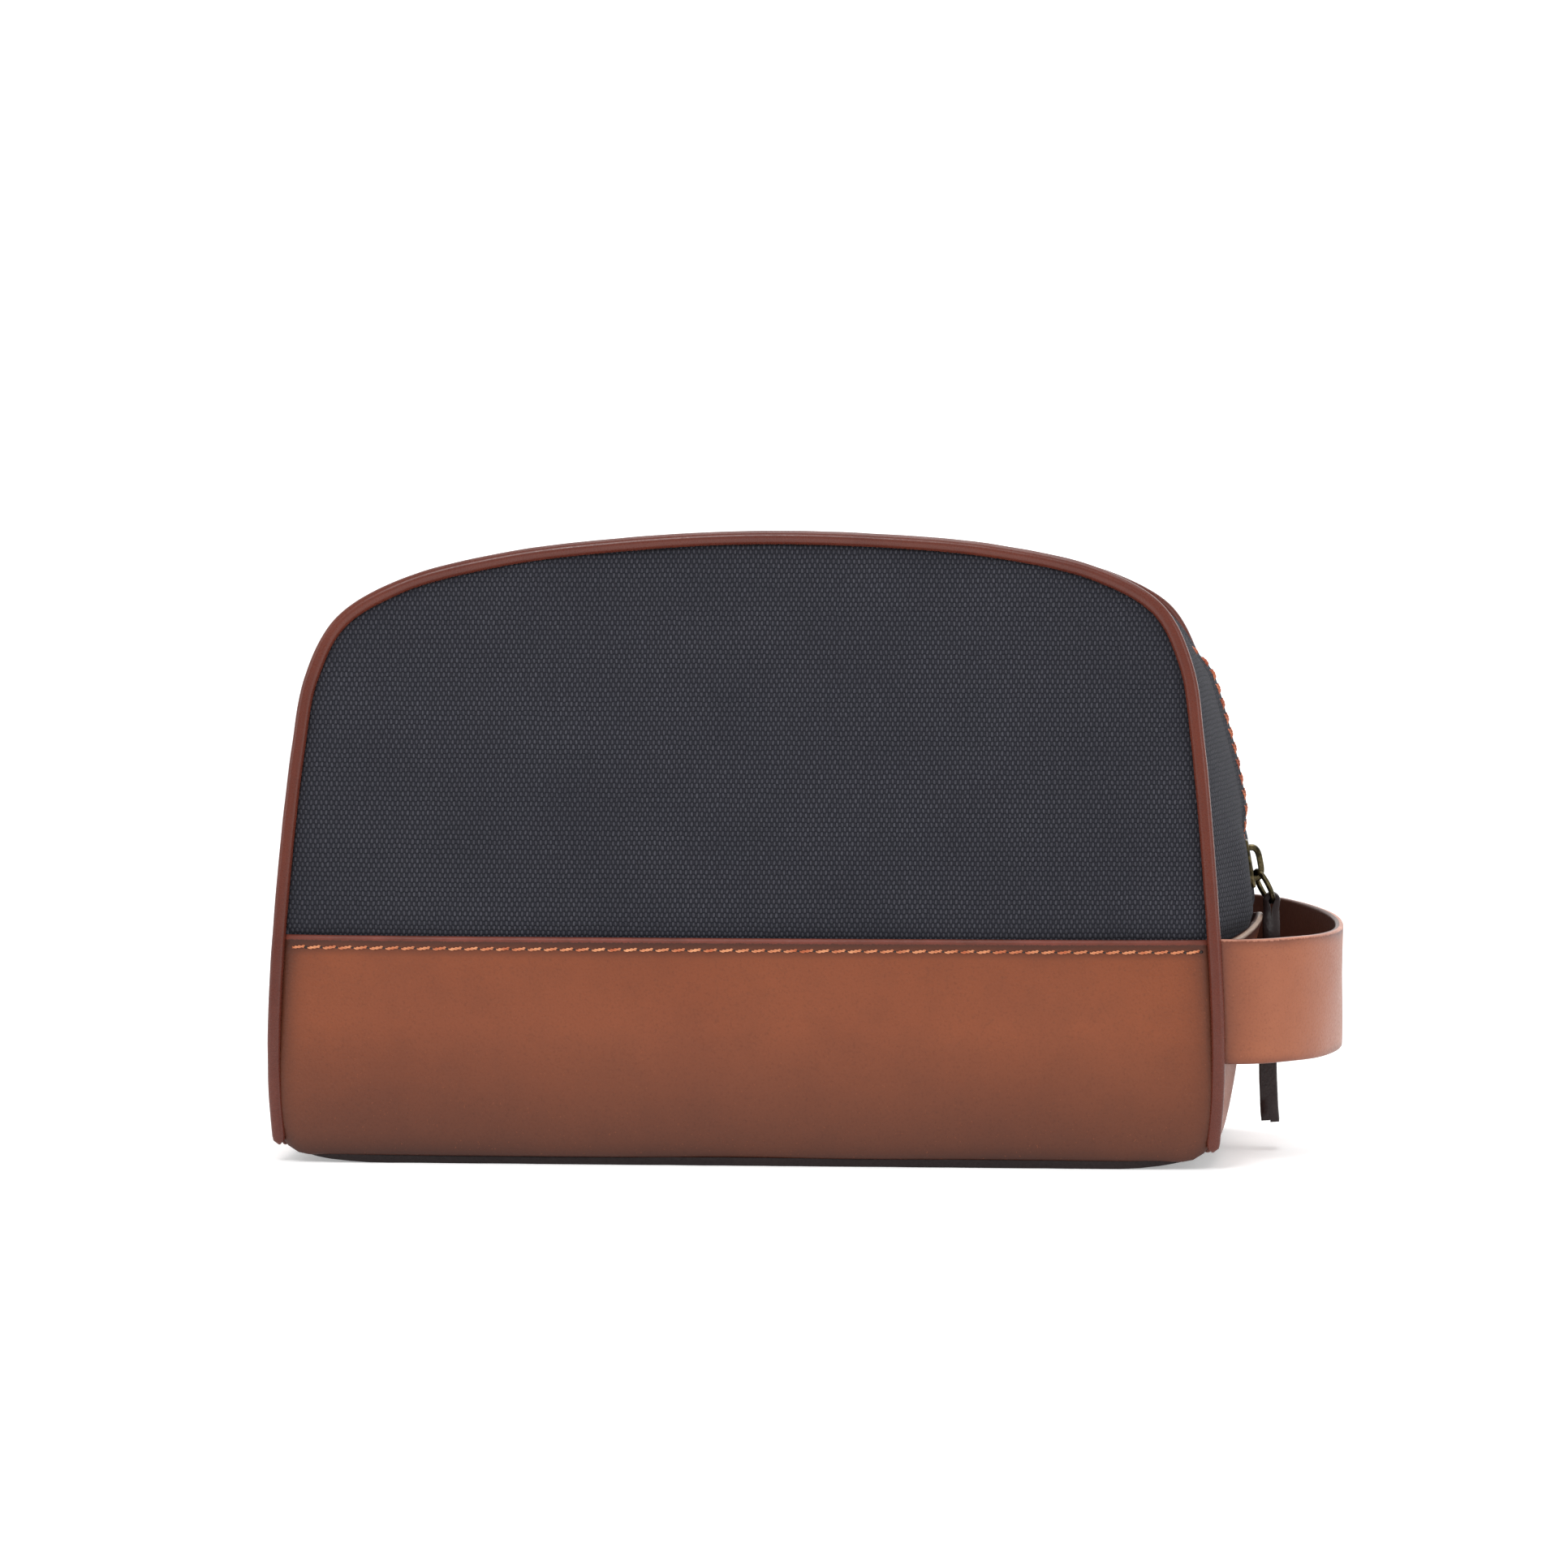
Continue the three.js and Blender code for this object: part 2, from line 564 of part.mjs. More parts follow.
function addPullTab() {
  const top = tabEye.z;
  const half = TAB_THICKNESS / 2;
  const edgeOn = new THREE.Shape();
  const headAngle = Math.acos(half / TAB_HEAD_RADIUS);
  edgeOn.moveTo(-half, TAB_END_Z);
  edgeOn.lineTo(half, TAB_END_Z);
  edgeOn.absarc(0, top, TAB_HEAD_RADIUS, -headAngle, Math.PI + headAngle);
  const eye = new THREE.Path();
  eye.absarc(0, top, TAB_EYE_RADIUS, 0, 2 * Math.PI, true);
  edgeOn.holes.push(eye);
  const thickness = new THREE.ExtrudeGeometry(
    edgeOn, { depth: TAB_WIDTH + 2 * SPARE, bevelEnabled: false, curveSegments: HEAD_STEPS });
  thickness.translate(0, 0, -TAB_WIDTH / 2 - SPARE);
  thickness.rotateX(Math.PI / 2);

  const neckLowZ = top - TAB_NECK_LENGTH;
  const wideZ = top - TAB_SHOULDER_LENGTH;
  const corner = TAB_CORNER;
  const faceOn = new THREE.Shape();
  faceOn.moveTo(-TAB_WIDTH / 2 + corner, TAB_END_Z - SPARE);
  faceOn.lineTo(TAB_WIDTH / 2 - corner, TAB_END_Z - SPARE);
  faceOn.lineTo(TAB_WIDTH / 2, TAB_END_Z + corner);
  faceOn.lineTo(TAB_WIDTH / 2, wideZ);
  faceOn.lineTo(TAB_NECK_WIDTH / 2, neckLowZ);
  faceOn.lineTo(TAB_NECK_WIDTH / 2, top + TAB_HEAD_RADIUS + SPARE);
  faceOn.lineTo(-TAB_NECK_WIDTH / 2, top + TAB_HEAD_RADIUS + SPARE);
  faceOn.lineTo(-TAB_NECK_WIDTH / 2, neckLowZ);
  faceOn.lineTo(-TAB_WIDTH / 2, wideZ);
  faceOn.lineTo(-TAB_WIDTH / 2, TAB_END_Z + corner);
  const width = new THREE.ExtrudeGeometry(faceOn, { depth: 4 * TAB_HEAD_RADIUS, bevelEnabled: false });
  width.translate(0, 0, -2 * TAB_HEAD_RADIUS);
  width.rotateX(Math.PI / 2);
  width.rotateZ(Math.PI / 2);
  const tab = geometryOf(solidOf(thickness).intersect(solidOf(width)));
  tab.translate(tabEye.x, 0, 0);
  addPiece('pull_tab', tab, darkLeather);
}

// ---- the leather band round the end, sewn into the front and back seams
function addHandle() {
  const core = new THREE.Vector3(HANDLE_START_X, 0, HANDLE_LOW_Z + HANDLE_WIDTH / 2);
  const surface = (u, v) => {
    const angle = Math.PI * u;
    const rise = HANDLE_BACK_RISE * smoothstep(u, HANDLE_RISE_START, 1);
    return new THREE.Vector3(
      lerp(HANDLE_START_X, HANDLE_NOSE_X, Math.sin(angle)),
      -HANDLE_HALF_DEPTH * Math.cos(angle),
      HANDLE_LOW_Z + rise + HANDLE_WIDTH * v);
  };
  addPiece('handle', sheet(surface, { columns: BAND_STEPS, rows: 1 }, HANDLE_THICKNESS, core), handleLeather);
}

addBase();
for (const sideName of Object.keys(SIDES)) {
  addLeatherPanel(sideName);
  addPipingLegs(sideName);
}
addEndPanel('left_end_panel', false);
addEndPanel('right_end_panel', true);
for (const sideName of Object.keys(SIDES)) addMouthHalf(sideName);
addSlider();
addRing();
addPullTab();
addHandle();

export default bag;
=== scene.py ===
import math

import bpy
import numpy as np
from mathutils import Matrix, Vector, noise


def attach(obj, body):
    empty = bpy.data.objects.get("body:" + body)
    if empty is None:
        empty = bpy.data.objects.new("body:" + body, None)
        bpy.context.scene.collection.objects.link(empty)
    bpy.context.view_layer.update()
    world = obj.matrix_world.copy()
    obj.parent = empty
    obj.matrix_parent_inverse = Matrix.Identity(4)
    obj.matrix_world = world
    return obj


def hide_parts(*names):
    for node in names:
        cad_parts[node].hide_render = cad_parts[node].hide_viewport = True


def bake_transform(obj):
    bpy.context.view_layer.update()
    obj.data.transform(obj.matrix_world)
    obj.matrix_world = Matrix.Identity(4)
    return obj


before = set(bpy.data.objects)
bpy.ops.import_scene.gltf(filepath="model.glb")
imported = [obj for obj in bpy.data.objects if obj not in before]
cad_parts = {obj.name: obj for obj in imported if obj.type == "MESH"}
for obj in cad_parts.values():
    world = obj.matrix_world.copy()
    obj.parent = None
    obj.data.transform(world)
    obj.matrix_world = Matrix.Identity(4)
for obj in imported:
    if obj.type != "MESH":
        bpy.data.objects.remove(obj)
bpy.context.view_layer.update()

# ------------------------------------------------------------------ sizes (millimetres)
MM = 0.001
BAG_HEIGHT = 168.1
HALF_DEPTH_BASE = 55.0
HALF_DEPTH_TOP = 38.0
DEPTH_TAPER = 2.2  # how late the sides draw in towards the top
BACK_DROOP = 2.6  # how much lower the back of the arch stands
TOP_LEAN = 0.018  # the arch stands slightly higher towards the handle
HALF_OUTLINE = [
    (126.2, 4), (127.5, 20), (127, 45), (125, 76), (121.5, 112),
    (118.4, 131), (110.6, 146.5), (94, 156.5), (66, 163.4), (34, 166.8),
]
PIPING_RADIUS = 1.85
PIPING_START_Z = 4.5
PIPING_FLAT_Z = 42.0  # below this height the welt is pressed flat
CANVAS_THICKNESS = 1.3
LEATHER_THICKNESS = 2.1
LEATHER_TOP_Z = 61.0
LEATHER_BOTTOM_Z = 1.5
LEATHER_CORNER = 8.5
LEATHER_PROUD = 1.1
END_PANEL_TOP_Z = 59.8
END_PANEL_RISE = 3.6  # its top edge stands higher at the zip
PANEL_CROWN = 4.0
PANEL_LENGTH = 245.0  # these lengths set how finely a panel's mesh is divided
CANVAS_RISE = 110.0
LEATHER_RISE = 56.0
END_PANEL_LENGTH = 105.0
END_PANEL_RUN = 55.0
SEAM_TO_SEAM = 240.0  # these ones set how far from a seam a panel is drawn in
CANVAS_SEAM_RISE = 105.0
CANVAS_LOW_Z = 54.0
LEFT_SHOULDER_Z = 143.0
RIGHT_SHOULDER_Z = 146.0
GUSSET_LOW_Z = 46.0
END_BULGE = 11.0
END_BULGE_Z = 62.0
END_BULGE_FOOT = 0.8
END_BULGE_TOP_Z = 150.0
PLAIN_END_SHARE = 0.5
ZIP_CHANNEL = 4.6  # half the gap between the folded canvas edges
TOOTH_DROP = 3.2
TOOTH_PITCH = 2.3
STITCH_PITCH = 4.25
STITCH_LENGTH = 3.7
STITCH_BELOW_EDGE = 3.1
WEAVE_ACROSS = 0.69  # half the spacing of the crowns in a row
WEAVE_ROW = 1.26
SLIDER_Z = 77.0
SLIDER_TRAVEL = 34.0
RING_RADIUS = 4.6
RING_WIRE = 0.72
RING_SLANT = math.radians(26.6)
RING_TWIST = math.radians(-16)
TAB_END_Z = 7.8
HANDLE_NOSE_X = 158.4
HANDLE_HALF_DEPTH = 52.0
HANDLE_LOW_Z = 27.9
HANDLE_WIDTH = 33.0
HANDLE_BACK_RISE = 5.0
HANDLE_THICKNESS = 2.2
SOLE_HEIGHT = 2.3

CORE = np.array((0.0, 0.0, 80.0))
FRONT, BACK = -1, 1
SIDE_NAMES = {FRONT: "front", BACK: "back"}


def lerp(a, b, t):
    return a + (b - a) * t


def smoothstep(value, low, high):
    t = min(max((value - low) / (high - low), 0.0), 1.0)
    return t * t * (3 - 2 * t)


# ------------------------------------------------------------------ outline and surfaces
def outline_points():
    """The front view's corner points, from the left foot over the arch to the right foot."""
    half = [Vector((x, z)) for x, z in HALF_OUTLINE]
    points = [Vector((-p.x, p.y)) for p in half] + [Vector((0, BAG_HEIGHT))] + half[::-1]
    return [Vector((p.x, p.y + TOP_LEAN * p.x * smoothstep(p.y, 60, 140))) for p in points]


def smooth_curve(points, steps):
    """A centripetal curve through the points."""
    path = [2 * points[0] - points[1], *points, 2 * points[-1] - points[-2]]
    found = []
    for i in range(1, len(path) - 2):
        a, b, c, d = path[i - 1:i + 3]
        t1 = (b - a).length ** 0.5
        t2 = t1 + (c - b).length ** 0.5
        t3 = t2 + (d - c).length ** 0.5
        for step in range(steps):
            t = lerp(t1, t2, step / steps)
            ab = a.lerp(b, t / t1)
            bc = b.lerp(c, (t - t1) / (t2 - t1))
            cd = c.lerp(d, (t - t2) / (t3 - t2))
            abc = ab.lerp(bc, t / t2)
            bcd = bc.lerp(cd, (t - t1) / (t3 - t1))
            found.append(abc.lerp(bcd, (t - t1) / (t2 - t1)))
    return np.array([*found, points[-1]])


OUTLINE = smooth_curve(outline_points(), 60)
OUTLINE_STEPS = np.linalg.norm(np.diff(OUTLINE, axis=0), axis=1)
OUTLINE_ALONG = np.concatenate(([0.0], np.cumsum(OUTLINE_STEPS)))
OUTLINE_LENGTH = OUTLINE_ALONG[-1]


def outline_at(along):
    """Point (x, z) of the outline at a distance along it."""
    return np.array([np.interp(along, OUTLINE_ALONG, OUTLINE[:, k]) for k in (0, 1)])


def rim(along, inset):
    """Point of the outline moved inwards in the front view."""
    before, after = outline_at(max(along - 1.0, 0)), outline_at(min(along + 1.0, OUTLINE_LENGTH))
    tangent = (after - before) / np.linalg.norm(after - before)
    point = outline_at(along)
    return np.array((point[0] + inset * tangent[1], point[1] - inset * tangent[0]))


def along_at_height(z, right):
    """Distance along the outline where its left or right half reaches a height."""
    peak = int(np.argmax(OUTLINE[:, 1]))
    if right:
        return float(np.interp(z, OUTLINE[peak:, 1][::-1], OUTLINE_ALONG[peak:][::-1]))
    return float(np.interp(z, OUTLINE[:peak, 1], OUTLINE_ALONG[:peak]))


def half_depth(z):
    return lerp(HALF_DEPTH_BASE, HALF_DEPTH_TOP, (max(z, 0) / BAG_HEIGHT) ** DEPTH_TAPER)


def end_bulge(z, x):
    fullness = 1.0 if x > 0 else PLAIN_END_SHARE
    if z > END_BULGE_TOP_Z:
        return 0.0
    if z > END_BULGE_Z:
        rise = (z - END_BULGE_Z) / (END_BULGE_TOP_Z - END_BULGE_Z)
        return fullness * END_BULGE * (1 - rise * rise)
    foot = (max(z, 0) / END_BULGE_Z) ** 1.6
    return fullness * (END_BULGE_FOOT + (END_BULGE - END_BULGE_FOOT) * foot)


def gusset_point(along, y, drop):
    """Point of the gusset at a distance along the outline and a depth, below its surface by drop."""
    flat = rim(along, PIPING_RADIUS)
    across = y / half_depth(flat[1])
    point = rim(along, PIPING_RADIUS + drop - end_bulge(flat[1], flat[0]) * (1 - across * across))
    return np.array((point[0], y, point[1]))


def end_panel_top(across):
    """Height of the end leather's top edge, from -1 at the front seam to 1 at the back seam."""
    return END_PANEL_TOP_Z + END_PANEL_RISE * max(1 - across * across, 0) ** 3


def cloth_point(along, y, drop):
    """Point of the gusset cloth: it lies under the end leather, and sinks in beside the zip."""
    x, z = outline_at(along)
    top = end_panel_top(y / half_depth(z))
    under = 1 - smoothstep(z, top, top + 4)
    beside_zip = smoothstep(abs(y), 2.5, 5) * (1 - smoothstep(abs(y), 9, 20))
    low = 1 - smoothstep(z, 80, 94)
    sink = 2.6 * low + 2.4 * smoothstep(z, 128, 140)
    belly = (1.5 if x > 0 else 0.0) * low * math.exp(-((abs(y) - 26) / 9) ** 2)
    return gusset_point(along, y, drop + 1.2 * under + sink * beside_zip - belly)


def softness(point, size, height, seed):
    """A slow unevenness of hand-sewn cloth or leather."""
    place = Vector(point) / size + Vector((seed, seed * 2, seed * 3))
    return height * noise.noise(place)


# ------------------------------------------------------------------ mesh making
def new_piece(name, verts, faces, uvs=None, attributes=None, material=None):
    """A mesh object in metres from points in millimetres."""
    mesh = bpy.data.meshes.new(name)
    placed = []
    for x, y, z in verts:
        low = BACK_DROOP * smoothstep(y, -HALF_DEPTH_TOP, HALF_DEPTH_TOP) * smoothstep(z, 105, 165)
        placed.append((float(x) * MM, float(y) * MM, float(z - low) * MM))
    mesh.from_pydata(placed, [], faces)
    mesh.validate()
    if uvs is not None:
        layer = mesh.uv_layers.new(name="cloth")
        loop_verts = np.zeros(len(mesh.loops), np.int32)
        mesh.loops.foreach_get("vertex_index", loop_verts)
        layer.data.foreach_set("uv", np.asarray(uvs, np.float32)[loop_verts].ravel())
    for key, values in (attributes or {}).items():
        mesh.attributes.new(key, "FLOAT", "POINT").data.foreach_set(
            "value", np.asarray(values, np.float32))
    piece = bpy.data.objects.new(name, mesh)
    bpy.context.collection.objects.link(piece)
    if material:
        mesh.materials.append(material)
    return piece


def shares(count, length, fine=(0.15, 0.4, 0.8, 1.4)):
    """Even shares of a length with a few finer ones beside both ends."""
    even = list(np.linspace(0, 1, count + 1))
    close = [step / length for step in fine if step / length < even[1]]
    return np.array(sorted({*even, *close, *(1 - c for c in close)}))


def sheet(name, surface, us, vs, thickness, round_by, material, uv=None, core=CORE):
    """A sheet with rounded edges. surface(u, v) is the outer side, and the inner side faces the core."""
    grid = np.array([[surface(u, v) for u in us] for v in vs])
    rows, columns = grid.shape[:2]
    normal = np.cross(np.gradient(grid, axis=1), np.gradient(grid, axis=0))
    normal /= np.linalg.norm(normal, axis=2, keepdims=True)
    middle = (rows // 2, columns // 2)
    flip = np.dot(normal[middle], grid[middle] - core) < 0
    if flip:
        normal = -normal
    step_u = np.linalg.norm(np.diff(grid, axis=1), axis=2)
    step_v = np.linalg.norm(np.diff(grid, axis=0), axis=2)
    from_left = np.hstack((np.zeros((rows, 1)), np.cumsum(step_u, axis=1)))
    from_low = np.vstack((np.zeros((1, columns)), np.cumsum(step_v, axis=0)))
    from_right = from_left[:, -1:] - from_left
    from_high = from_low[-1:, :] - from_low
    edge = np.minimum(np.minimum(from_left, from_right), np.minimum(from_low, from_high))
    inside = np.clip(round_by - edge, 0, round_by)
    sink = round_by - np.sqrt(round_by ** 2 - inside ** 2)
    outer = grid - normal * sink[..., None]
    inner = grid - normal * (thickness - sink * min(0.9, 0.4 * thickness / round_by))[..., None]
    verts = np.concatenate((outer.reshape(-1, 3), inner.reshape(-1, 3)))
    layer = rows * columns
    faces = []

    def quad(a, b, c, d):
        faces.append((a, d, c, b) if flip else (a, b, c, d))

    for r in range(rows - 1):
        for c in range(columns - 1):
            a = r * columns + c
            quad(a, a + 1, a + columns + 1, a + columns)
            quad(layer + a + columns, layer + a + columns + 1, layer + a + 1, layer + a)
    for c in range(columns - 1):
        low, high = c, (rows - 1) * columns + c
        quad(low + 1, low, layer + low, layer + low + 1)
        quad(high, high + 1, layer + high + 1, layer + high)
    for r in range(rows - 1):
        left, right = r * columns, r * columns + columns - 1
        quad(left, left + columns, layer + left + columns, layer + left)
        quad(right + columns, right, layer + right, layer + right + columns)
    if uv is None:
        flat = np.stack((from_left, from_low), axis=2) * MM
    else:
        flat = np.array([[uv(u, v) for u in us] for v in vs]) * MM
    uvs = np.concatenate((flat.reshape(-1, 2),) * 2)
    distances = {"edge": edge, "side_edge": np.minimum(from_left, from_right),
                 "top_edge": from_high, "low_edge": from_low}
    attributes = {key: np.tile(value.ravel(), 2) * MM for key, value in distances.items()}
    attributes["inside"] = np.repeat((0.0, 1.0), layer)
    piece = new_piece(name, verts, faces, uvs, attributes, material)
    smooth(piece, 50)
    return piece


def tube_faces(first, ring_count, count):
    """Faces through rings of points numbered from first, with a flat face at both ends."""
    faces = []
    for r in range(ring_count - 1):
        low = first + r * count
        high = low + count
        for c in range(count):
            d = (c + 1) % count
            faces.append((low + c, low + d, high + d, high + c))
    last = first + (ring_count - 1) * count
    faces.append(tuple(first + c for c in reversed(range(count))))
    faces.append(tuple(last + c for c in range(count)))
    return faces


def loft(name, rings, material, uvs=None, sharp=180):
    """A solid through rings of points, with flat ends."""
    rings = [np.asarray(r, float) for r in rings]
    faces = tube_faces(0, len(rings), len(rings[0]))
    piece = new_piece(name, np.concatenate(rings), faces, uvs, None, material)
    outwards(piece)
    smooth(piece, sharp)
    return piece


def choose(*pieces):
    """Selects only these pieces, the first one active."""
    bpy.ops.object.select_all(action="DESELECT")
    for piece in pieces:
        piece.select_set(True)
    bpy.context.view_layer.objects.active = pieces[0]
    return pieces[0]


def outwards(piece):
    """Points the faces of a closed piece outwards."""
    choose(piece)
    bpy.ops.object.mode_set(mode="EDIT")
    bpy.ops.mesh.select_all(action="SELECT")
    bpy.ops.mesh.normals_make_consistent(inside=False)
    bpy.ops.object.mode_set(mode="OBJECT")


def smooth(piece, degrees):
    choose(piece)
    bpy.ops.object.shade_smooth_by_angle(angle=math.radians(degrees))


def join(name, pieces):
    """Joins pieces into one object."""
    first = choose(*pieces)
    bpy.ops.object.join()
    first.name = name
    first.data.name = name
    return first


def settle(piece):
    """Puts a piece's place into its mesh."""
    choose(piece)
    bpy.ops.object.transform_apply(location=True, rotation=True, scale=True)


def apply_all(piece):
    choose(piece)
    for modifier in list(piece.modifiers):
        bpy.ops.object.modifier_apply(modifier=modifier.name)


def circle(radius, sides):
    turns = np.arange(sides) * 2 * math.pi / sides
    return np.stack((np.cos(turns), np.sin(turns)), axis=1) * radius


# ------------------------------------------------------------------ materials
def srgb(r, g, b):
    """A linear colour from eight-bit values."""
    def channel(value):
        value /= 255
        return value / 12.92 if value <= 0.04045 else ((value + 0.055) / 1.055) ** 2.4
    return (channel(r), channel(g), channel(b), 1.0)


class Finish:
    """A node material, built a node at a time."""

    def __init__(self, name):
        self.material = bpy.data.materials.new(name)
        self.material.use_nodes = True
        self.tree = self.material.node_tree
        self.shader = self.tree.nodes["Principled BSDF"]
        self.column = 0

    def node(self, kind, inputs=None, **settings):
        made = self.tree.nodes.new(kind)
        self.column += 1
        made.location = (-200 * self.column, -40 * (self.column % 5))
        for key, value in settings.items():
            setattr(made, key, value)
        for key, value in (inputs or {}).items():
            self.put(made, key, value)
        return made

    def put(self, node, key, value):
        if isinstance(value, bpy.types.NodeSocket):
            self.tree.links.new(value, node.inputs[key])
        else:
            node.inputs[key].default_value = value

    def set(self, **values):
        for key, value in values.items():
            self.put(self.shader, key.replace("_", " "), value)

    def math(self, operation, a, b=0.0):
        return self.node("ShaderNodeMath", {0: a, 1: b}, operation=operation).outputs[0]

    def place(self):
        return self.node("ShaderNodeTexCoord").outputs["Object"]

    def noise(self, scale, detail=3.0, roughness=0.5, where=None, distortion=0.0):
        made = self.node("ShaderNodeTexNoise", {
            "Vector": where or self.place(), "Scale": scale, "Detail": detail,
            "Roughness": roughness, "Distortion": distortion})
        return made.outputs["Fac"]

    def spread(self, value, low, high, to_low=0.0, to_high=1.0):
        made = self.node("ShaderNodeMapRange", {
            "Value": value, "From Min": low, "From Max": high, "To Min": to_low, "To Max": to_high})
        return made.outputs["Result"]

    def mix(self, share, a, b):
        made = self.node("ShaderNodeMix", data_type="RGBA")
        self.put(made, 0, share)
        self.put(made, 6, a)
        self.put(made, 7, b)
        return made.outputs[2]

    def attribute(self, name):
        return self.node("ShaderNodeAttribute", attribute_name=name).outputs["Fac"]

    def bump(self, height, strength, distance, before=None):
        inputs = {"Height": height, "Strength": strength, "Distance": distance}
        if before is not None:
            inputs["Normal"] = before
        return self.node("ShaderNodeBump", inputs).outputs["Normal"]


def canvas_finish(name, ground, crown, shade):
    """Heavy plain weave: rows of raised yarn crowns, alternate rows stepped by half."""
    f = Finish(name)
    uv = f.node("ShaderNodeUVMap", uv_map="cloth").outputs["UV"]
    wander = f.node("ShaderNodeTexNoise", {"Vector": uv, "Scale": 260.0, "Detail": 2.0})
    shift = f.node("ShaderNodeVectorMath", {0: wander.outputs["Color"], 1: (0.5, 0.5, 0.5)},
                   operation="SUBTRACT").outputs[0]
    shift = f.node("ShaderNodeVectorMath", {0: shift, 3: 0.00075}, operation="SCALE").outputs[0]
    moved = f.node("ShaderNodeVectorMath", {0: uv, 1: shift}, operation="ADD").outputs[0]
    parts = f.node("ShaderNodeSeparateXYZ", {0: moved})
    across = f.math("COSINE", f.math("MULTIPLY", parts.outputs[0], math.pi / (WEAVE_ACROSS * MM)))
    rows = f.math("COSINE", f.math("MULTIPLY", parts.outputs[1], math.pi / (WEAVE_ROW * MM)))
    weave = f.math("MULTIPLY", across, rows)
    crowns = f.math("MAXIMUM", weave, 0.0)
    floats = f.math("MULTIPLY", f.math("MINIMUM", weave, 0.0), -0.36)
    height = f.math("ADD", f.math("POWER", crowns, 0.5), floats)
    fibre = f.noise(2600.0, 2.0, 0.6, uv)
    slow = f.noise(38.0, 3.0, 0.55)
    yarn = f.noise(520.0, 2.0, 0.6, uv)
    lift = f.math("MULTIPLY", f.spread(crowns, 0.04, 0.5), f.spread(yarn, 0.3, 0.75, 0.4, 1.1))
    # Painted shade: the low gaps between the yarn crowns take the shade colour. Painted highlight: the
    # raised crowns take the lighter crown colour. The slow clouds and fibre streaks vary the tone at
    # random.
    colour = f.mix(f.spread(height, 0.0, 0.55), shade, ground)
    colour = f.mix(f.math("MULTIPLY", lift, 0.66), colour, crown)
    colour = f.mix(f.spread(slow, 0.35, 0.7, 0.0, 0.22), colour, shade)
    colour = f.mix(f.spread(fibre, 0.58, 0.8, 0.0, 0.3), colour, crown)
    f.set(Base_Color=colour, Roughness=0.95, Sheen_Weight=0.06, Sheen_Roughness=0.5)
    f.shader.inputs["Specular IOR Level"].default_value = 0.15
    rough = f.bump(fibre, 0.35, 0.00012)
    f.set(Normal=f.bump(height, 0.9, 0.00042, rough))
    return f.material


def leather_finish(name, light, base, dark, burnish_mm, grain=1.0, gloss=0.46, cloud=0.4,
                   cut=None, cut_mm=1.4, below_edge_dark_mm=0.0, foot_burnish_and_shade_mm=0.0, side_burnish_and_shade_mm=0.0, inside=None,
                   flecks_share=0.4):
    """Waxed leather: cloudy colour, darker burnished edges, fine grain and pinprick flecks. The foot and
    sides can darken, partly by real burnish and partly by painted shade, and a band below the top edge can
    be darker.
    """
    f = Finish(name)
    place = f.place()
    clouds = f.noise(15.0, 3.0, 0.5, place, 0.4)
    mottle = f.noise(90.0, 3.0, 0.6, place)
    pores = f.noise(1500.0, 3.0, 0.65, place)
    cells = f.node("ShaderNodeTexVoronoi", {"Vector": place, "Scale": 1250.0}).outputs["Distance"]
    flecks = f.noise(2300.0, 0.0, 0.5, place)
    colour = f.mix(f.spread(clouds, 0.3, 0.7, 0.0, cloud), base, light)
    colour = f.mix(f.spread(mottle, 0.42, 0.8, 0.0, 0.16), colour, dark)
    if burnish_mm:
        rub = f.math("ADD", f.attribute("edge"), f.spread(clouds, 0.3, 0.7, -0.0015, 0.0015))
        near = f.spread(rub, 0.0, burnish_mm * MM, 1.0, 0.0)
        colour = f.mix(f.math("MULTIPLY", f.math("POWER", near, 2.2), 0.85), colour, dark)
    # Darker towards the side seams: partly real burnish, partly painted shade beside the piping.
    if side_burnish_and_shade_mm:
        near = f.spread(f.attribute("side_edge"), 0.0, side_burnish_and_shade_mm * MM, 1.0, 0.0)
        colour = f.mix(f.math("MULTIPLY", f.math("POWER", near, 1.8), 0.7), colour, dark)
    # Darker towards the bottom edge: partly real burnish, partly painted shade where the leather turns
    # under.
    if foot_burnish_and_shade_mm:
        near = f.spread(f.attribute("low_edge"), 0.0, foot_burnish_and_shade_mm * MM, 0.75, 0.0)
        colour = f.mix(near, colour, dark)
    colour = f.mix(f.spread(pores, 0.52, 0.72, 0.0, 0.25), colour, dark)
    colour = f.mix(f.spread(flecks, 0.79, 0.83, 0.0, flecks_share), colour, light)
    if cut is not None:
        near = f.math("ADD", f.attribute("top_edge"), f.spread(pores, 0.3, 0.7, -0.0002, 0.0002))
        # Darker in a band below the top cut edge.
        if below_edge_dark_mm:
            colour = f.mix(f.spread(near, 0.3 * below_edge_dark_mm * MM, below_edge_dark_mm * MM, 0.8, 0.0), colour, dark)
        worn = f.spread(mottle, 0.3, 0.7, 0.45, 1.0)
        raw = f.spread(near, cut_mm * MM, (cut_mm + 0.3) * MM, 1.0, 0.0)
        colour = f.mix(f.math("MULTIPLY", raw, worn), colour, cut)
    if inside is not None:
        colour = f.mix(f.spread(f.attribute("inside"), 0.45, 0.55), colour, inside)
    f.set(Base_Color=colour, Roughness=f.spread(pores, 0.3, 0.8, gloss - 0.06, gloss + 0.12))
    f.shader.inputs["Specular IOR Level"].default_value = 0.33
    fine = f.bump(pores, 0.22 * grain, 0.00016)
    f.set(Normal=f.bump(cells, 0.2 * grain, 0.00022, fine))
    return f.material


def thread_finish(name, light, dark):
    """Twisted waxed thread."""
    f = Finish(name)
    fibre = f.noise(3200.0, 2.0, 0.6)
    slow = f.noise(210.0, 2.0, 0.5)
    colour = f.mix(f.spread(slow, 0.35, 0.68), dark, light)
    colour = f.mix(f.spread(fibre, 0.5, 0.8, 0.0, 0.3), colour, dark)
    f.set(Base_Color=colour, Roughness=0.55, Normal=f.bump(fibre, 0.4, 0.0001))
    return f.material


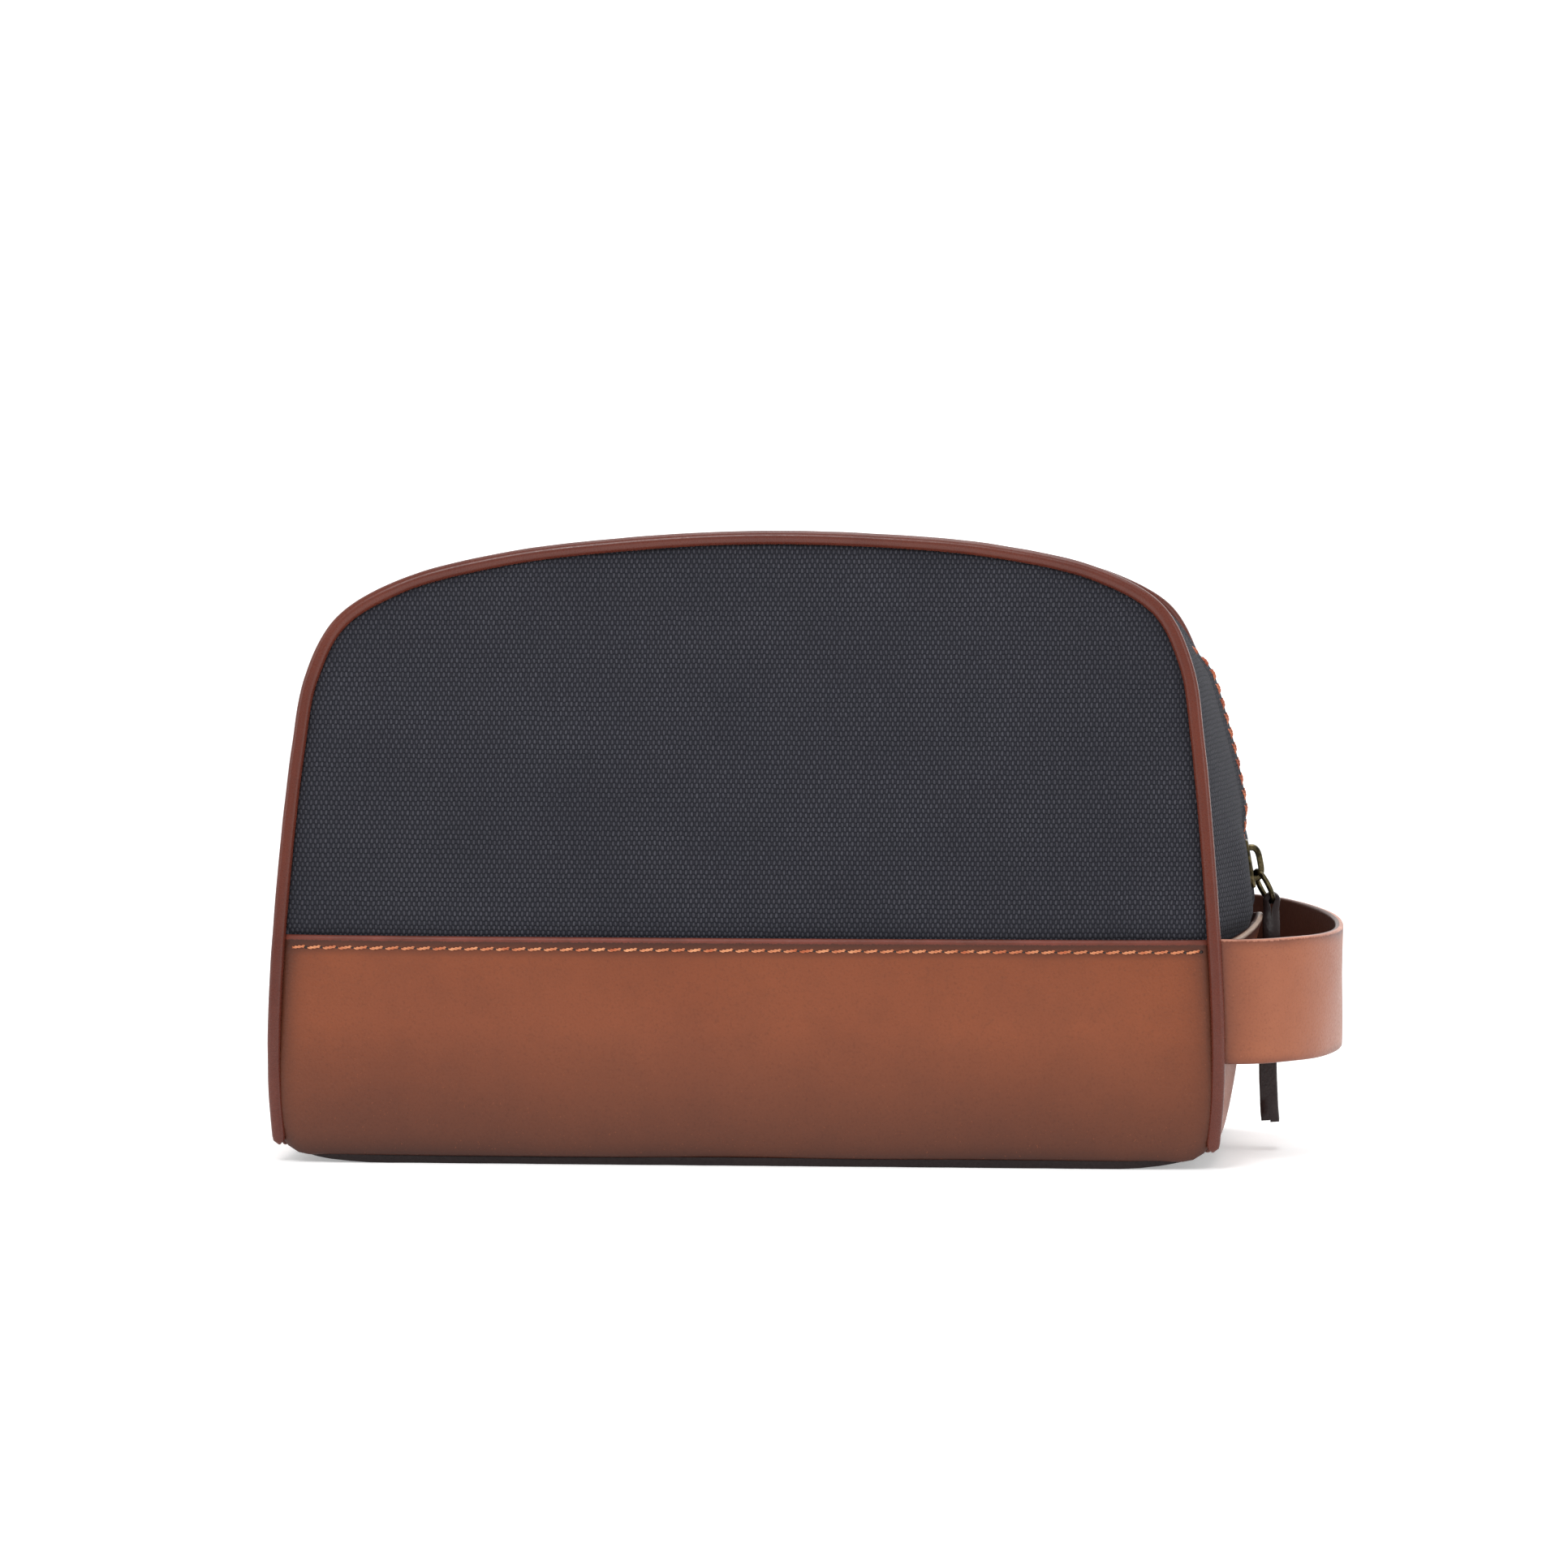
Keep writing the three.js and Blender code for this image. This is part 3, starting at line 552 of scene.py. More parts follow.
def metal_finish(name, bright, tarnish):
    """Antique brass: dark tarnish, with rubbed lighter patches."""
    f = Finish(name)
    patches = f.noise(420.0, 4.0, 0.6)
    scratches = f.noise(1900.0, 2.0, 0.7)
    colour = f.mix(f.spread(patches, 0.42, 0.66), tarnish, bright)
    f.set(Base_Color=colour, Metallic=1.0,
          Roughness=f.spread(scratches, 0.3, 0.8, 0.26, 0.5),
          Normal=f.bump(scratches, 0.15, 0.00008))
    return f.material


def cloth_finish(name, light, dark, pitch_mm):
    """Fine plain cotton that follows the cloth's own UV map, for the lining and the tape."""
    f = Finish(name)
    uv = f.node("ShaderNodeUVMap", uv_map="cloth").outputs["UV"]
    parts = f.node("ShaderNodeSeparateXYZ", {0: uv})
    turn = math.pi / (pitch_mm * MM)
    a = f.math("SINE", f.math("MULTIPLY", parts.outputs[0], turn))
    b = f.math("SINE", f.math("MULTIPLY", parts.outputs[1], turn))
    weave = f.math("MULTIPLY", a, b)
    slow = f.noise(60.0, 3.0, 0.5)
    colour = f.mix(f.spread(weave, -0.8, 0.8), dark, light)
    colour = f.mix(f.spread(slow, 0.35, 0.7, 0.0, 0.35), colour, dark)
    f.set(Base_Color=colour, Roughness=0.9, Normal=f.bump(weave, 0.5, 0.0002))
    return f.material


def board_finish(name, light, dark):
    """Pressed fibre board."""
    f = Finish(name)
    fibre = f.noise(900.0, 4.0, 0.7)
    colour = f.mix(f.spread(fibre, 0.35, 0.7), dark, light)
    f.set(Base_Color=colour, Roughness=0.85, Normal=f.bump(fibre, 0.3, 0.0002))
    return f.material


# Canvas colours: ground, a lighter crown colour for the painted highlight on the yarn tops, and a shade
# colour for the painted shade between them.
CANVAS = canvas_finish("slate_canvas", srgb(49, 49, 56), srgb(83, 83, 91), srgb(25, 26, 33))
# The tan panel darkens towards its foot and sides, partly by real burnish and partly by painted shade.
TAN = leather_finish("tan_leather", srgb(144, 76, 42), srgb(120, 60, 33), srgb(60, 30, 20), 7.0, gloss=0.42,
                     cut=srgb(116, 56, 44), cut_mm=1.2, below_edge_dark_mm=5.5, foot_burnish_and_shade_mm=36.0, side_burnish_and_shade_mm=11.0,
                     inside=srgb(70, 42, 34))
END_TAN = leather_finish("end_leather", srgb(150, 88, 62), srgb(130, 72, 50), srgb(74, 38, 30), 9.0,
                         cut=srgb(182, 156, 138), cut_mm=0.8, below_edge_dark_mm=5.0, inside=srgb(70, 42, 34))
WELT = leather_finish("welt_leather", srgb(110, 52, 36), srgb(84, 38, 29), srgb(50, 22, 18),
                      0, grain=0.12, gloss=0.28, cloud=0.6, flecks_share=0.1)
# The strap darkens towards its ends by the piping, partly by real burnish and partly by painted shade.
STRAP = leather_finish("strap_leather", srgb(168, 102, 70), srgb(148, 84, 56), srgb(80, 38, 30), 4.0,
                       grain=0.9, gloss=0.4, cut=srgb(196, 134, 110), cut_mm=0.35, side_burnish_and_shade_mm=17.0,
                       inside=srgb(84, 52, 42))
DARK = leather_finish("dark_leather", srgb(50, 34, 33), srgb(36, 23, 23), srgb(20, 13, 13),
                      0, gloss=0.38)
SOLE = leather_finish("sole_leather", srgb(38, 22, 21), srgb(26, 14, 14), srgb(16, 9, 9),
                      0, grain=1.6, gloss=0.7)
LINING = cloth_finish("cotton_lining", srgb(128, 110, 88), srgb(92, 78, 62), 0.5)
TAPE = cloth_finish("zip_tape", srgb(58, 46, 40), srgb(30, 24, 22), 0.4)
THREAD = thread_finish("tan_thread", srgb(226, 158, 112), srgb(184, 96, 56))
# Dark colours for the needle holes: painted shade inside each hole.
HOLE_SHADE = thread_finish("needle_hole", srgb(44, 24, 20), srgb(28, 15, 13))
ZIP_THREAD = thread_finish("rust_thread", srgb(214, 124, 84), srgb(160, 72, 44))
BRASS = metal_finish("old_brass", srgb(118, 106, 76), srgb(52, 47, 34))
TEETH_BRASS = metal_finish("teeth_brass", srgb(186, 164, 112), srgb(96, 80, 52))
BOARD = board_finish("fibre_board", srgb(96, 84, 72), srgb(62, 54, 46))


# ------------------------------------------------------------------ canvas and leather shells
def patch(edges, side, crown, proud, dip, seed):
    """A four-sided surface filled between its edges, crowned, and drawn in at its seams."""
    corners = [edges["low"](0), edges["low"](1), edges["high"](0), edges["high"](1)]

    def surface(u, v):
        flat = (1 - v) * edges["low"](u) + v * edges["high"](u)
        flat = flat + (1 - u) * edges["left"](v) + u * edges["right"](v)
        flat = flat - (1 - u) * (1 - v) * corners[0] - u * (1 - v) * corners[1]
        flat = flat - (1 - u) * v * corners[2] - u * v * corners[3]
        depth = half_depth(flat[1]) + proud + PANEL_CROWN * (1 - (2 * u - 1) ** 4) * crown(v)
        depth -= dip(u, v)
        depth += softness((flat[0], side * 50, flat[1]), 34, 0.7, seed) * min(8 * u, 8 - 8 * u, 1)
        return np.array((flat[0], side * depth, flat[1]))
    return surface


def canvas_panel(side):
    name = SIDE_NAMES[side]
    inset = PIPING_RADIUS + 0.9
    start = [along_at_height(CANVAS_LOW_Z, right) for right in (False, True)]
    shoulder = [along_at_height(LEFT_SHOULDER_Z, False), along_at_height(RIGHT_SHOULDER_Z, True)]
    left, right = rim(start[0], inset), rim(start[1], inset)
    edges = {
        "low": lambda u: lerp(left, right, u),
        "high": lambda u: rim(lerp(shoulder[0], shoulder[1], u), inset),
        "left": lambda v: rim(lerp(start[0], shoulder[0], v), inset),
        "right": lambda v: rim(lerp(start[1], shoulder[1], v), inset),
    }

    def dip(u, v):
        near_side = min(u, 1 - u) * SEAM_TO_SEAM
        near_top = (1 - v) * CANVAS_SEAM_RISE
        z = v * CANVAS_SEAM_RISE + CANVAS_LOW_Z
        under = 1.15 * (1 - smoothstep(z, LEATHER_TOP_Z + 0.3, LEATHER_TOP_Z + 4.5))
        return 1.3 * math.exp(-near_side / 2.2) + 1.3 * math.exp(-near_top / 2.2) + under

    def crown(v):
        return 1 - v * v
    surface = patch(edges, side, crown, 0.0, dip, 1.0 + side)
    panel = sheet(
        f"{name}_canvas", surface, shares(110, PANEL_LENGTH, (0.8, 1.6)),
        shares(56, CANVAS_RISE, (0.8, 1.6)), CANVAS_THICKNESS, 0.3, CANVAS,
        uv=lambda u, v: surface(u, v)[[0, 2]])
    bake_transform(panel)
    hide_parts(f"{name}_canvas_panel")

    def behind(u, v):
        point = surface(u, v)
        return point - np.array((0, side * (CANVAS_THICKNESS + 0.4), 0))
    lining = sheet(
        f"{name}_lining", behind, shares(50, PANEL_LENGTH, ()), shares(30, CANVAS_RISE, ()),
        0.6, 0.2, LINING)
    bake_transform(lining)
    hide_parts(f"{name}_upper_lining")


def leather_panel(side):
    """The lower leather, with rounded bottom corners, a cut top edge, and its bottom turned under."""
    name = SIDE_NAMES[side]
    inset = PIPING_RADIUS + 1.1
    low_z = LEATHER_BOTTOM_Z + LEATHER_CORNER
    lows = [rim(along_at_height(low_z, right), inset - 0.8) for right in (False, True)]
    highs = [rim(along_at_height(LEATHER_TOP_Z, right), inset) for right in (False, True)]
    straight = lows[1][0] - LEATHER_CORNER

    def low(u):
        x = lerp(lows[0][0], lows[1][0], u)
        past = min(max(abs(x) - straight, 0) / LEATHER_CORNER, 1)
        return np.array((x, low_z - LEATHER_CORNER * math.sqrt(1 - past * past)))

    def side_edge(which):
        def at(v):
            z = lerp(low_z, LEATHER_TOP_Z, v)
            return rim(along_at_height(z, bool(which)), inset - 0.8 * (1 - smoothstep(v, 0.1, 0.6)))
        return at
    edges = {"low": low, "high": lambda u: lerp(highs[0], highs[1], u),
             "left": side_edge(0), "right": side_edge(1)}

    def dip(u, v):
        near_side = min(u, 1 - u) * SEAM_TO_SEAM
        near_foot = v * LEATHER_RISE
        return 1.5 * math.exp(-near_side / 2.2) + 1.6 * math.exp(-near_foot / 2.0)

    def crown(v):
        return 1 - (1 - v) ** 2
    surface = patch(edges, side, crown, LEATHER_PROUD, dip, 4.0 + side)
    panel = sheet(
        f"{name}_leather", surface, shares(90, PANEL_LENGTH), shares(30, LEATHER_RISE),
        LEATHER_THICKNESS, 0.9, TAN)
    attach(panel, "shell")
    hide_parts(f"{name}_leather_panel")
    places = panel_seam(surface)
    sew_row(f"{name}_panel_stitches", places, THREAD, "shell")
    painted_hole_shade(f"{name}_painted_hole_shade", places)


def panel_seam(surface):
    """Places and directions of the stitches along the top of the lower leather."""
    v = 1 - STITCH_BELOW_EDGE / LEATHER_RISE
    stations = np.linspace(0.008, 0.992, 400)
    points = np.array([surface(u, v) for u in stations])
    normals = np.array([
        np.cross(surface(u + 0.002, v) - surface(u - 0.002, v),
                 surface(u, v + 0.01) - surface(u, v - 0.01))
        for u in stations])
    return evenly(points, normals, STITCH_PITCH)


def evenly(points, normals, pitch):
    """Places a fixed distance apart along a line of points, each with its direction and normal."""
    run = np.concatenate(([0], np.cumsum(np.linalg.norm(np.diff(points, axis=0), axis=1))))
    count = int(run[-1] / pitch)
    start = (run[-1] - (count - 1) * pitch) / 2
    places = []
    for i in range(count):
        at = start + i * pitch
        point = np.array([np.interp(at, run, points[:, k]) for k in range(3)])
        ahead = np.array([np.interp(at + 0.5, run, points[:, k]) for k in range(3)])
        normal = np.array([np.interp(at, run, normals[:, k]) for k in range(3)])
        direction = ahead - point
        direction /= np.linalg.norm(direction)
        middle = point - CORE
        normal = normal * (1 if np.dot(normal, middle) > 0 else -1)
        normal -= direction * np.dot(normal, direction)
        normal /= np.linalg.norm(normal)
        places.append((point, direction, normal))
    return places


# ------------------------------------------------------------------ stitches
def stitch_rings(length, radius, twist, sides=6, steps=9):
    """Two plies twisted round each other, both ends going down into their holes."""
    plies = []
    for ply in (0, math.pi):
        rings = []
        for step in range(steps + 1):
            t = step / steps
            x = (t - 0.5) * length
            arch = math.sin(math.pi * t) ** 0.5
            rise = radius * (1.15 * arch - 0.55)
            turn = ply + twist * 2 * math.pi * t
            centre = np.array((x, 0.5 * radius * math.cos(turn), rise + 0.5 * radius * math.sin(turn)))
            section = circle(0.56 * radius * (0.62 + 0.38 * arch), sides)
            rings.append([centre + np.array((0, a, b)) for a, b in section])
        plies.append(rings)
    return plies


def sew_row(name, places, material, body, length=STITCH_LENGTH, radius=0.4,
            slant=0.15, twist=1.7, steps=9, blend=None):
    """One row of stitches as a single piece, each stitch a copy set at its own place."""
    verts, faces = [], []
    for point, direction, normal in places:
        across = np.cross(normal, direction)
        run = direction + slant * across
        run /= np.linalg.norm(run)
        side = np.cross(normal, run)
        frame_axes = np.stack((run, side, normal), axis=1)
        for rings in stitch_rings(length, radius, twist, steps=steps):
            faces += tube_faces(len(verts), len(rings), len(rings[0]))
            verts += [point + frame_axes @ local for ring in rings for local in ring]
    row = new_piece(name, verts, faces, material=material)
    outwards(row)
    smooth(row, 180)
    if blend:
        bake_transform(row)
    else:
        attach(row, body)


def painted_hole_shade(name, places):
    """A dark dimple at each gap between two stitches, painted shade for the inside of the needle hole."""
    verts, faces = [], []
    for point, direction, normal in places:
        across = np.cross(normal, direction)
        centre = point + direction * STITCH_PITCH / 2
        first = len(verts)
        for a, b in circle(1.0, 8):
            verts.append(centre + 0.62 * a * direction + 0.42 * b * across - 0.05 * normal)
        verts += [centre + 0.07 * normal, centre - 0.3 * normal]
        for k in range(8):
            faces.append((first + k, first + (k + 1) % 8, first + 8))
            faces.append((first + (k + 1) % 8, first + k, first + 9))
    holes = new_piece(name, verts, faces, material=HOLE_SHADE)
    outwards(holes)
    smooth(holes, 180)
    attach(holes, "shell")


# ------------------------------------------------------------------ end panels and gusset
def end_panel(name, right):
    low = along_at_height(LEATHER_BOTTOM_Z + 1.8, right)

    def surface(u, v):
        high = along_at_height(end_panel_top(2 * u - 1), right)
        along = lerp(low, high, v)
        reach = half_depth(outline_at(along)[1]) - 1.0
        y = lerp(-reach, reach, u)
        near_side = min(u, 1 - u) * END_PANEL_LENGTH
        dip = 1.6 * math.exp(-v * END_PANEL_RUN / 3.2) + math.exp(-near_side / 2.5)
        dip -= 0.7 * smoothstep(v, 0.9, 1)
        point = gusset_point(along, y, -LEATHER_PROUD + dip)
        return point + np.array((softness(point, 30, 0.6, 7.0), 0, 0)) * min(8 * u, 8 - 8 * u, 1)
    panel = sheet(
        f"{name}_end_leather", surface, shares(40, END_PANEL_LENGTH), shares(28, END_PANEL_RUN),
        LEATHER_THICKNESS, 0.7, END_TAN)
    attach(panel, "shell")
    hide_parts(f"{name}_end_panel")


def mouth_fold(side):
    """The stretch over which cloth near the zip turns from the shell to its mouth half."""
    half = f"{SIDE_NAMES[side]}_half"
    return ("shell", half, (0, 0, 0.034), (0, 0, 0.072))


def over_the_arch(low_z):
    return along_at_height(low_z, False), along_at_height(low_z, True)


GUSSET_START, GUSSET_FINISH = over_the_arch(GUSSET_LOW_Z)
GUSSET_RUN = GUSSET_FINISH - GUSSET_START


def along_gusset(u):
    return lerp(GUSSET_START, GUSSET_FINISH, u)


def gusset_strip(side):
    """The canvas beside the zip, folded under at the zip and puckered by its stitches."""
    name = SIDE_NAMES[side]

    def surface(u, v):
        along = along_gusset(u)
        seam = half_depth(outline_at(along)[1]) - 0.7
        y = lerp(seam, ZIP_CHANNEL, v)
        near_seam = v * (seam - ZIP_CHANNEL)
        near_zip = (1 - v) * (seam - ZIP_CHANNEL)
        dip = 0.9 * math.exp(-near_seam / 2.2)
        lift = 0.75 * (1 - smoothstep(near_zip, 4.2, 5.6))
        pucker = 0.16 * math.sin(2 * math.pi * along / STITCH_PITCH)
        pucker *= math.exp(-((near_zip - 3.4) / 1.5) ** 2)
        point = cloth_point(along, side * y, dip - lift + pucker)
        return point + np.array((0, 0, softness(point, 26, 0.7, 9.0 + side) * min(6 * v, 6 - 6 * v, 1)))
    strip = sheet(
        f"{name}_gusset", surface, shares(340, GUSSET_RUN, (0.8,)), shares(26, 47, (0.3, 0.7, 1.2)),
        CANVAS_THICKNESS, 0.5, CANVAS, uv=lambda u, v: np.array((v * 46.0, u * GUSSET_RUN)))
    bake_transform(strip)
    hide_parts(f"{name}_canvas_gusset")


def gusset_cloth(side):
    """The lining under the gusset's canvas."""
    name = SIDE_NAMES[side]

    def surface(u, v):
        along = along_gusset(u)
        seam = half_depth(outline_at(along)[1]) - 6
        return cloth_point(along, side * lerp(seam, 5.5, v), 4.4)
    lining = sheet(
        f"{name}_gusset_cloth", surface, shares(120, GUSSET_RUN, ()), shares(8, 40, ()),
        0.6, 0.2, LINING)
    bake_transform(lining)
    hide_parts(f"{name}_gusset_lining")


def zip_stitches(side):
    """The row of thread that holds the folded canvas to the zip tape."""
    y = side * (ZIP_CHANNEL + 3.2)
    drop = -0.62
    stations = np.linspace(GUSSET_START + 14, GUSSET_FINISH - 14, 900)
    points = np.array([cloth_point(s, y, drop) for s in stations])
    normals = points - np.array([cloth_point(s, y, drop + 1) for s in stations])
    sew_row(f"{SIDE_NAMES[side]}_zip_stitches", evenly(points, normals, STITCH_PITCH), ZIP_THREAD,
            None, length=3.4, radius=0.42, steps=6, blend=mouth_fold(side))


def zip_tape(side):
    name = SIDE_NAMES[side]

    def surface(u, v):
        return cloth_point(along_gusset(u), side * lerp(9.5, 2.0, v), 2.9)
    tape = sheet(
        f"{name}_tape", surface, shares(200, GUSSET_RUN, ()), shares(4, 8, ()), 0.6, 0.2, TAPE)
    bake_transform(tape)
    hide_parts(f"{name}_zip_tape")


def tooth_shape():
    """One metal tooth: a block with a nose that narrows towards the middle."""
    bpy.ops.object.select_all(action="DESELECT")
    bpy.ops.mesh.primitive_cube_add(size=1, location=(0, 0, 0))
    tooth = bpy.context.object
    tooth.scale = (1.25, 3.1, 1.7)
    settle(tooth)
    mesh = tooth.data
    for vertex in mesh.vertices:
        if vertex.co.y > 0:
            vertex.co.x *= 0.78
            vertex.co.z *= 0.72
    bevel = tooth.modifiers.new("round", "BEVEL")
    bevel.width = 0.22
    bevel.segments = 1
    apply_all(tooth)
    verts = np.array([tuple(v.co) for v in mesh.vertices])
    faces = [tuple(p.vertices) for p in mesh.polygons]
    bpy.data.objects.remove(tooth)
    return verts, faces


def teeth(side):
    name = SIDE_NAMES[side]
    start, finish = GUSSET_START + 8, GUSSET_FINISH - 8
    tooth_verts, tooth_faces = tooth_shape()
    verts, faces = [], []
    offset = 0.5 * TOOTH_PITCH if side == BACK else 0.0
    for i in range(int((finish - start) / TOOTH_PITCH)):
        along = start + offset + i * TOOTH_PITCH
        place = cloth_point(along, side * 1.35, TOOTH_DROP)
        ahead = cloth_point(along + 0.5, side * 1.35, TOOTH_DROP)
        run = (ahead - place) / np.linalg.norm(ahead - place)
        inwards = np.array((0, -side, 0.0))
        up = np.cross(run, inwards)
        if np.dot(up, place - CORE) < 0:
            up = -up
        first = len(verts)
        for local in tooth_verts:
            verts.append(place + run * local[0] + inwards * local[1] + up * local[2])
        faces.extend(tuple(first + k for k in face) for face in tooth_faces)
    row = new_piece(f"{name}_teeth", verts, faces, material=TEETH_BRASS)
    outwards(row)
    smooth(row, 35)
    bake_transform(row)
    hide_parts(f"{name}_zip_teeth")


# ------------------------------------------------------------------ piping
def piping(side):
    """The rolled leather welt round one side, pressed flatter towards its two feet."""
    name = SIDE_NAMES[side]
    start, finish = over_the_arch(PIPING_START_Z)
    count = 420
    sides = 18
    rings, uvs = [], []
    for i in range(count + 1):
        along = lerp(start, finish, i / count)
        to_end = min(along - start, finish - along)
        tip = math.sqrt(max(1 - (1 - min(to_end / 2.2, 1)) ** 2, 0.02))
        centre = rim(along, PIPING_RADIUS)
        level = centre[1]
        flat = 1 - smoothstep(level, 16, PIPING_FLAT_Z)
        wobble = 1 - 0.12 * flat + 0.05 * noise.noise(Vector((along / 9.0, side * 3.1, 0)))
        before, after = rim(along - 0.5, PIPING_RADIUS), rim(along + 0.5, PIPING_RADIUS)
        tangent = (after - before) / np.linalg.norm(after - before)
        out = np.array((-tangent[1], tangent[0]))
        ring = []
        for k in range(sides):
            turn = 2 * math.pi * k / sides
            across = PIPING_RADIUS * wobble * tip * (1 + 0.08 * flat) * math.cos(turn)
            depth = PIPING_RADIUS * wobble * tip * (1 - 0.12 * flat) * math.sin(turn)
            across -= 0.15 * flat * PIPING_RADIUS
            ring.append((centre[0] + out[0] * across,
                         side * half_depth(level) + depth,
                         centre[1] + out[1] * across))
            uvs.append((k / sides * 0.0116, along * MM))
        rings.append(ring)
    welt = loft(f"{name}_piping", rings, WELT, uvs)
    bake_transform(welt)
    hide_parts(f"{name}_piping_arch", f"{name}_left_piping_leg", f"{name}_right_piping_leg")


# ------------------------------------------------------------------ base and lining
def dark_sole():
    """A thin sole with round corners, its ends turned up a little."""
    bpy.ops.object.select_all(action="DESELECT")
    bpy.ops.mesh.primitive_cube_add(size=1, location=(0, 0, SOLE_HEIGHT / 2 * MM))
    sole = bpy.context.object
    sole.name = "dark_sole"
    sole.scale = (2 * 119.5 * MM, 2 * 54.9 * MM, SOLE_HEIGHT * MM)
    settle(sole)
    corners = sole.modifiers.new("corners", "BEVEL")
    corners.width = 9 * MM
    corners.segments = 8
    corners.limit_method = "WEIGHT"
    weights = sole.data.attributes.new("bevel_weight_edge", "FLOAT", "EDGE")
    for edge in sole.data.edges:
        ends = [sole.data.vertices[k].co for k in edge.vertices]
        weights.data[edge.index].value = 1.0 if abs(ends[0].z - ends[1].z) > MM else 0.0
    apply_all(sole)
    rounded = sole.modifiers.new("rounded", "BEVEL")
    rounded.width = 0.5 * MM
    rounded.segments = 2
    rounded.angle_limit = math.radians(60)
    apply_all(sole)
    choose(sole)
    bpy.ops.object.mode_set(mode="EDIT")
    for cut in range(-23, 24):
        bpy.ops.mesh.select_all(action="SELECT")
        bpy.ops.mesh.bisect(plane_co=(cut * 5 * MM, 0, 0), plane_no=(1, 0, 0))
    bpy.ops.object.mode_set(mode="OBJECT")
    for vertex in sole.data.vertices:
        past = max(abs(vertex.co.x) / MM - 97, 0) / 22.5
        rough = 0.15 * noise.noise(Vector((vertex.co.x * 120, 0, 5.0)))
        vertex.co.z += (2.6 * past * past + max(rough, 0)) * MM
    sole.data.materials.append(SOLE)
    smooth(sole, 40)
    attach(sole, "shell")
    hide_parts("sole")


def base_board():
    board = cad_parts["base_board"]
    board.data.materials.clear()
    board.data.materials.append(BOARD)


def lower_lining():
    """The cotton walls and floor of the lower bag."""
    def wall_surface(u, v):
        turn = 2 * math.pi * u
        x = 121 * abs(math.cos(turn)) ** 0.22 * (1 if math.cos(turn) >= 0 else -1)
        y = 50.5 * abs(math.sin(turn)) ** 0.22 * (1 if math.sin(turn) >= 0 else -1)
        return np.array((x, y, lerp(6.2, 55, v)))
    walls = sheet("lining_walls", wall_surface, np.linspace(0, 1, 161), np.linspace(0, 1, 9),
                  0.6, 0.2, LINING)
    bpy.ops.object.select_all(action="DESELECT")
    bpy.ops.mesh.primitive_grid_add(
        x_subdivisions=40, y_subdivisions=18, size=1, location=(0, 0, 6.4 * MM))
    floor = bpy.context.object
    floor.scale = (238 * MM, 99 * MM, 1)
    settle(floor)
    for vertex in floor.data.vertices:
        vertex.co.z += 0.5 * MM * noise.noise(vertex.co * 30)
    thick = floor.modifiers.new("thick", "SOLIDIFY")
    thick.thickness = 0.5 * MM
    apply_all(floor)
    floor.data.uv_layers[0].name = "cloth"
    for loop in floor.data.loops:
        floor.data.uv_layers[0].data[loop.index].uv = floor.data.vertices[loop.vertex_index].co.xy
    floor.data.materials.append(LINING)
    lining = join("lower_lining_cloth", [walls, floor])
    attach(lining, "shell")
    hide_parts("lower_lining")


# ------------------------------------------------------------------ zip slider, ring and pull
def zip_place():
    """Place and axes of the closed slider: up the zip, and away from the bag."""
    place = gusset_point(along_at_height(SLIDER_Z, True), 0, 0)
    far = gusset_point(along_at_height(SLIDER_Z + SLIDER_TRAVEL, True), 0, 0)
    up = (far - place) / np.linalg.norm(far - place)
    away = np.array((up[2], 0, -up[0]))
    return place, up, away


ZIP_PLACE, ZIP_UP, ZIP_AWAY = zip_place()


def put_on_zip(piece):
    """Moves a piece made with X up the zip, Y across it and Z away from the bag."""
    axes = Matrix(((ZIP_UP[0], 0, ZIP_AWAY[0]), (ZIP_UP[1], 1, ZIP_AWAY[1]), (ZIP_UP[2], 0, ZIP_AWAY[2])))
    piece.data.transform(Matrix.Translation(Vector(ZIP_PLACE) * MM) @ axes.to_4x4())
    piece.data.update()


def rounded_block(name, size, place, width, segments=3):
    bpy.ops.object.select_all(action="DESELECT")
    bpy.ops.mesh.primitive_cube_add(size=1, location=Vector(place) * MM)
    block = bpy.context.object
    block.name = name
    block.scale = Vector(size) * MM
    settle(block)
    bevel = block.modifiers.new("edges", "BEVEL")
    bevel.width = width * MM
    bevel.segments = segments
    apply_all(block)
    return block


def slider():
    """Body of a plate with side lips, and a raised bridge with an eye for the ring."""
    plate = rounded_block("zip_slider_body", (13.0, 8.8, 1.3), (0, 0, -0.75), 0.45)
    for vertex in plate.data.vertices:
        taper = smoothstep(vertex.co.x / MM, 1.0, 6.5)
        vertex.co.y *= 1 - 0.18 * taper
    lips = [rounded_block("lip", (11.5, 0.8, 1.0), (-0.4, s * 3.9, -1.3), 0.2) for s in (-1, 1)]
    path = []
    for i in range(21):
        t = i / 20
        angle = math.pi * (1 - t)
        x = 4.3 * math.copysign(abs(math.cos(angle)) ** 0.6, math.cos(angle))
        z = -0.6 + 2.75 * abs(math.sin(angle)) ** 0.6
        path.append(np.array((x, 0, z)))
    rings = []
    for i, point in enumerate(path):
        ahead = path[min(i + 1, 20)] - path[max(i - 1, 0)]
        ahead /= np.linalg.norm(ahead)
        out = np.array((-ahead[2], 0, ahead[0]))
        section = [(0.8, 1.5), (0.5, 1.85), (-0.5, 1.85), (-0.8, 1.5),
                   (-0.8, -1.5), (-0.5, -1.85), (0.5, -1.85), (0.8, -1.5)]
        rings.append([point + out * a + np.array((0, b, 0)) for a, b in section])
    bridge = loft("bridge", rings, None, sharp=40)
    body = join("zip_slider_body", [plate, *lips, bridge])
    body.data.materials.clear()
    body.data.materials.append(BRASS)
    put_on_zip(body)
    smooth(body, 40)
    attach(body, "slider")
    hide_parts("zip_slider")


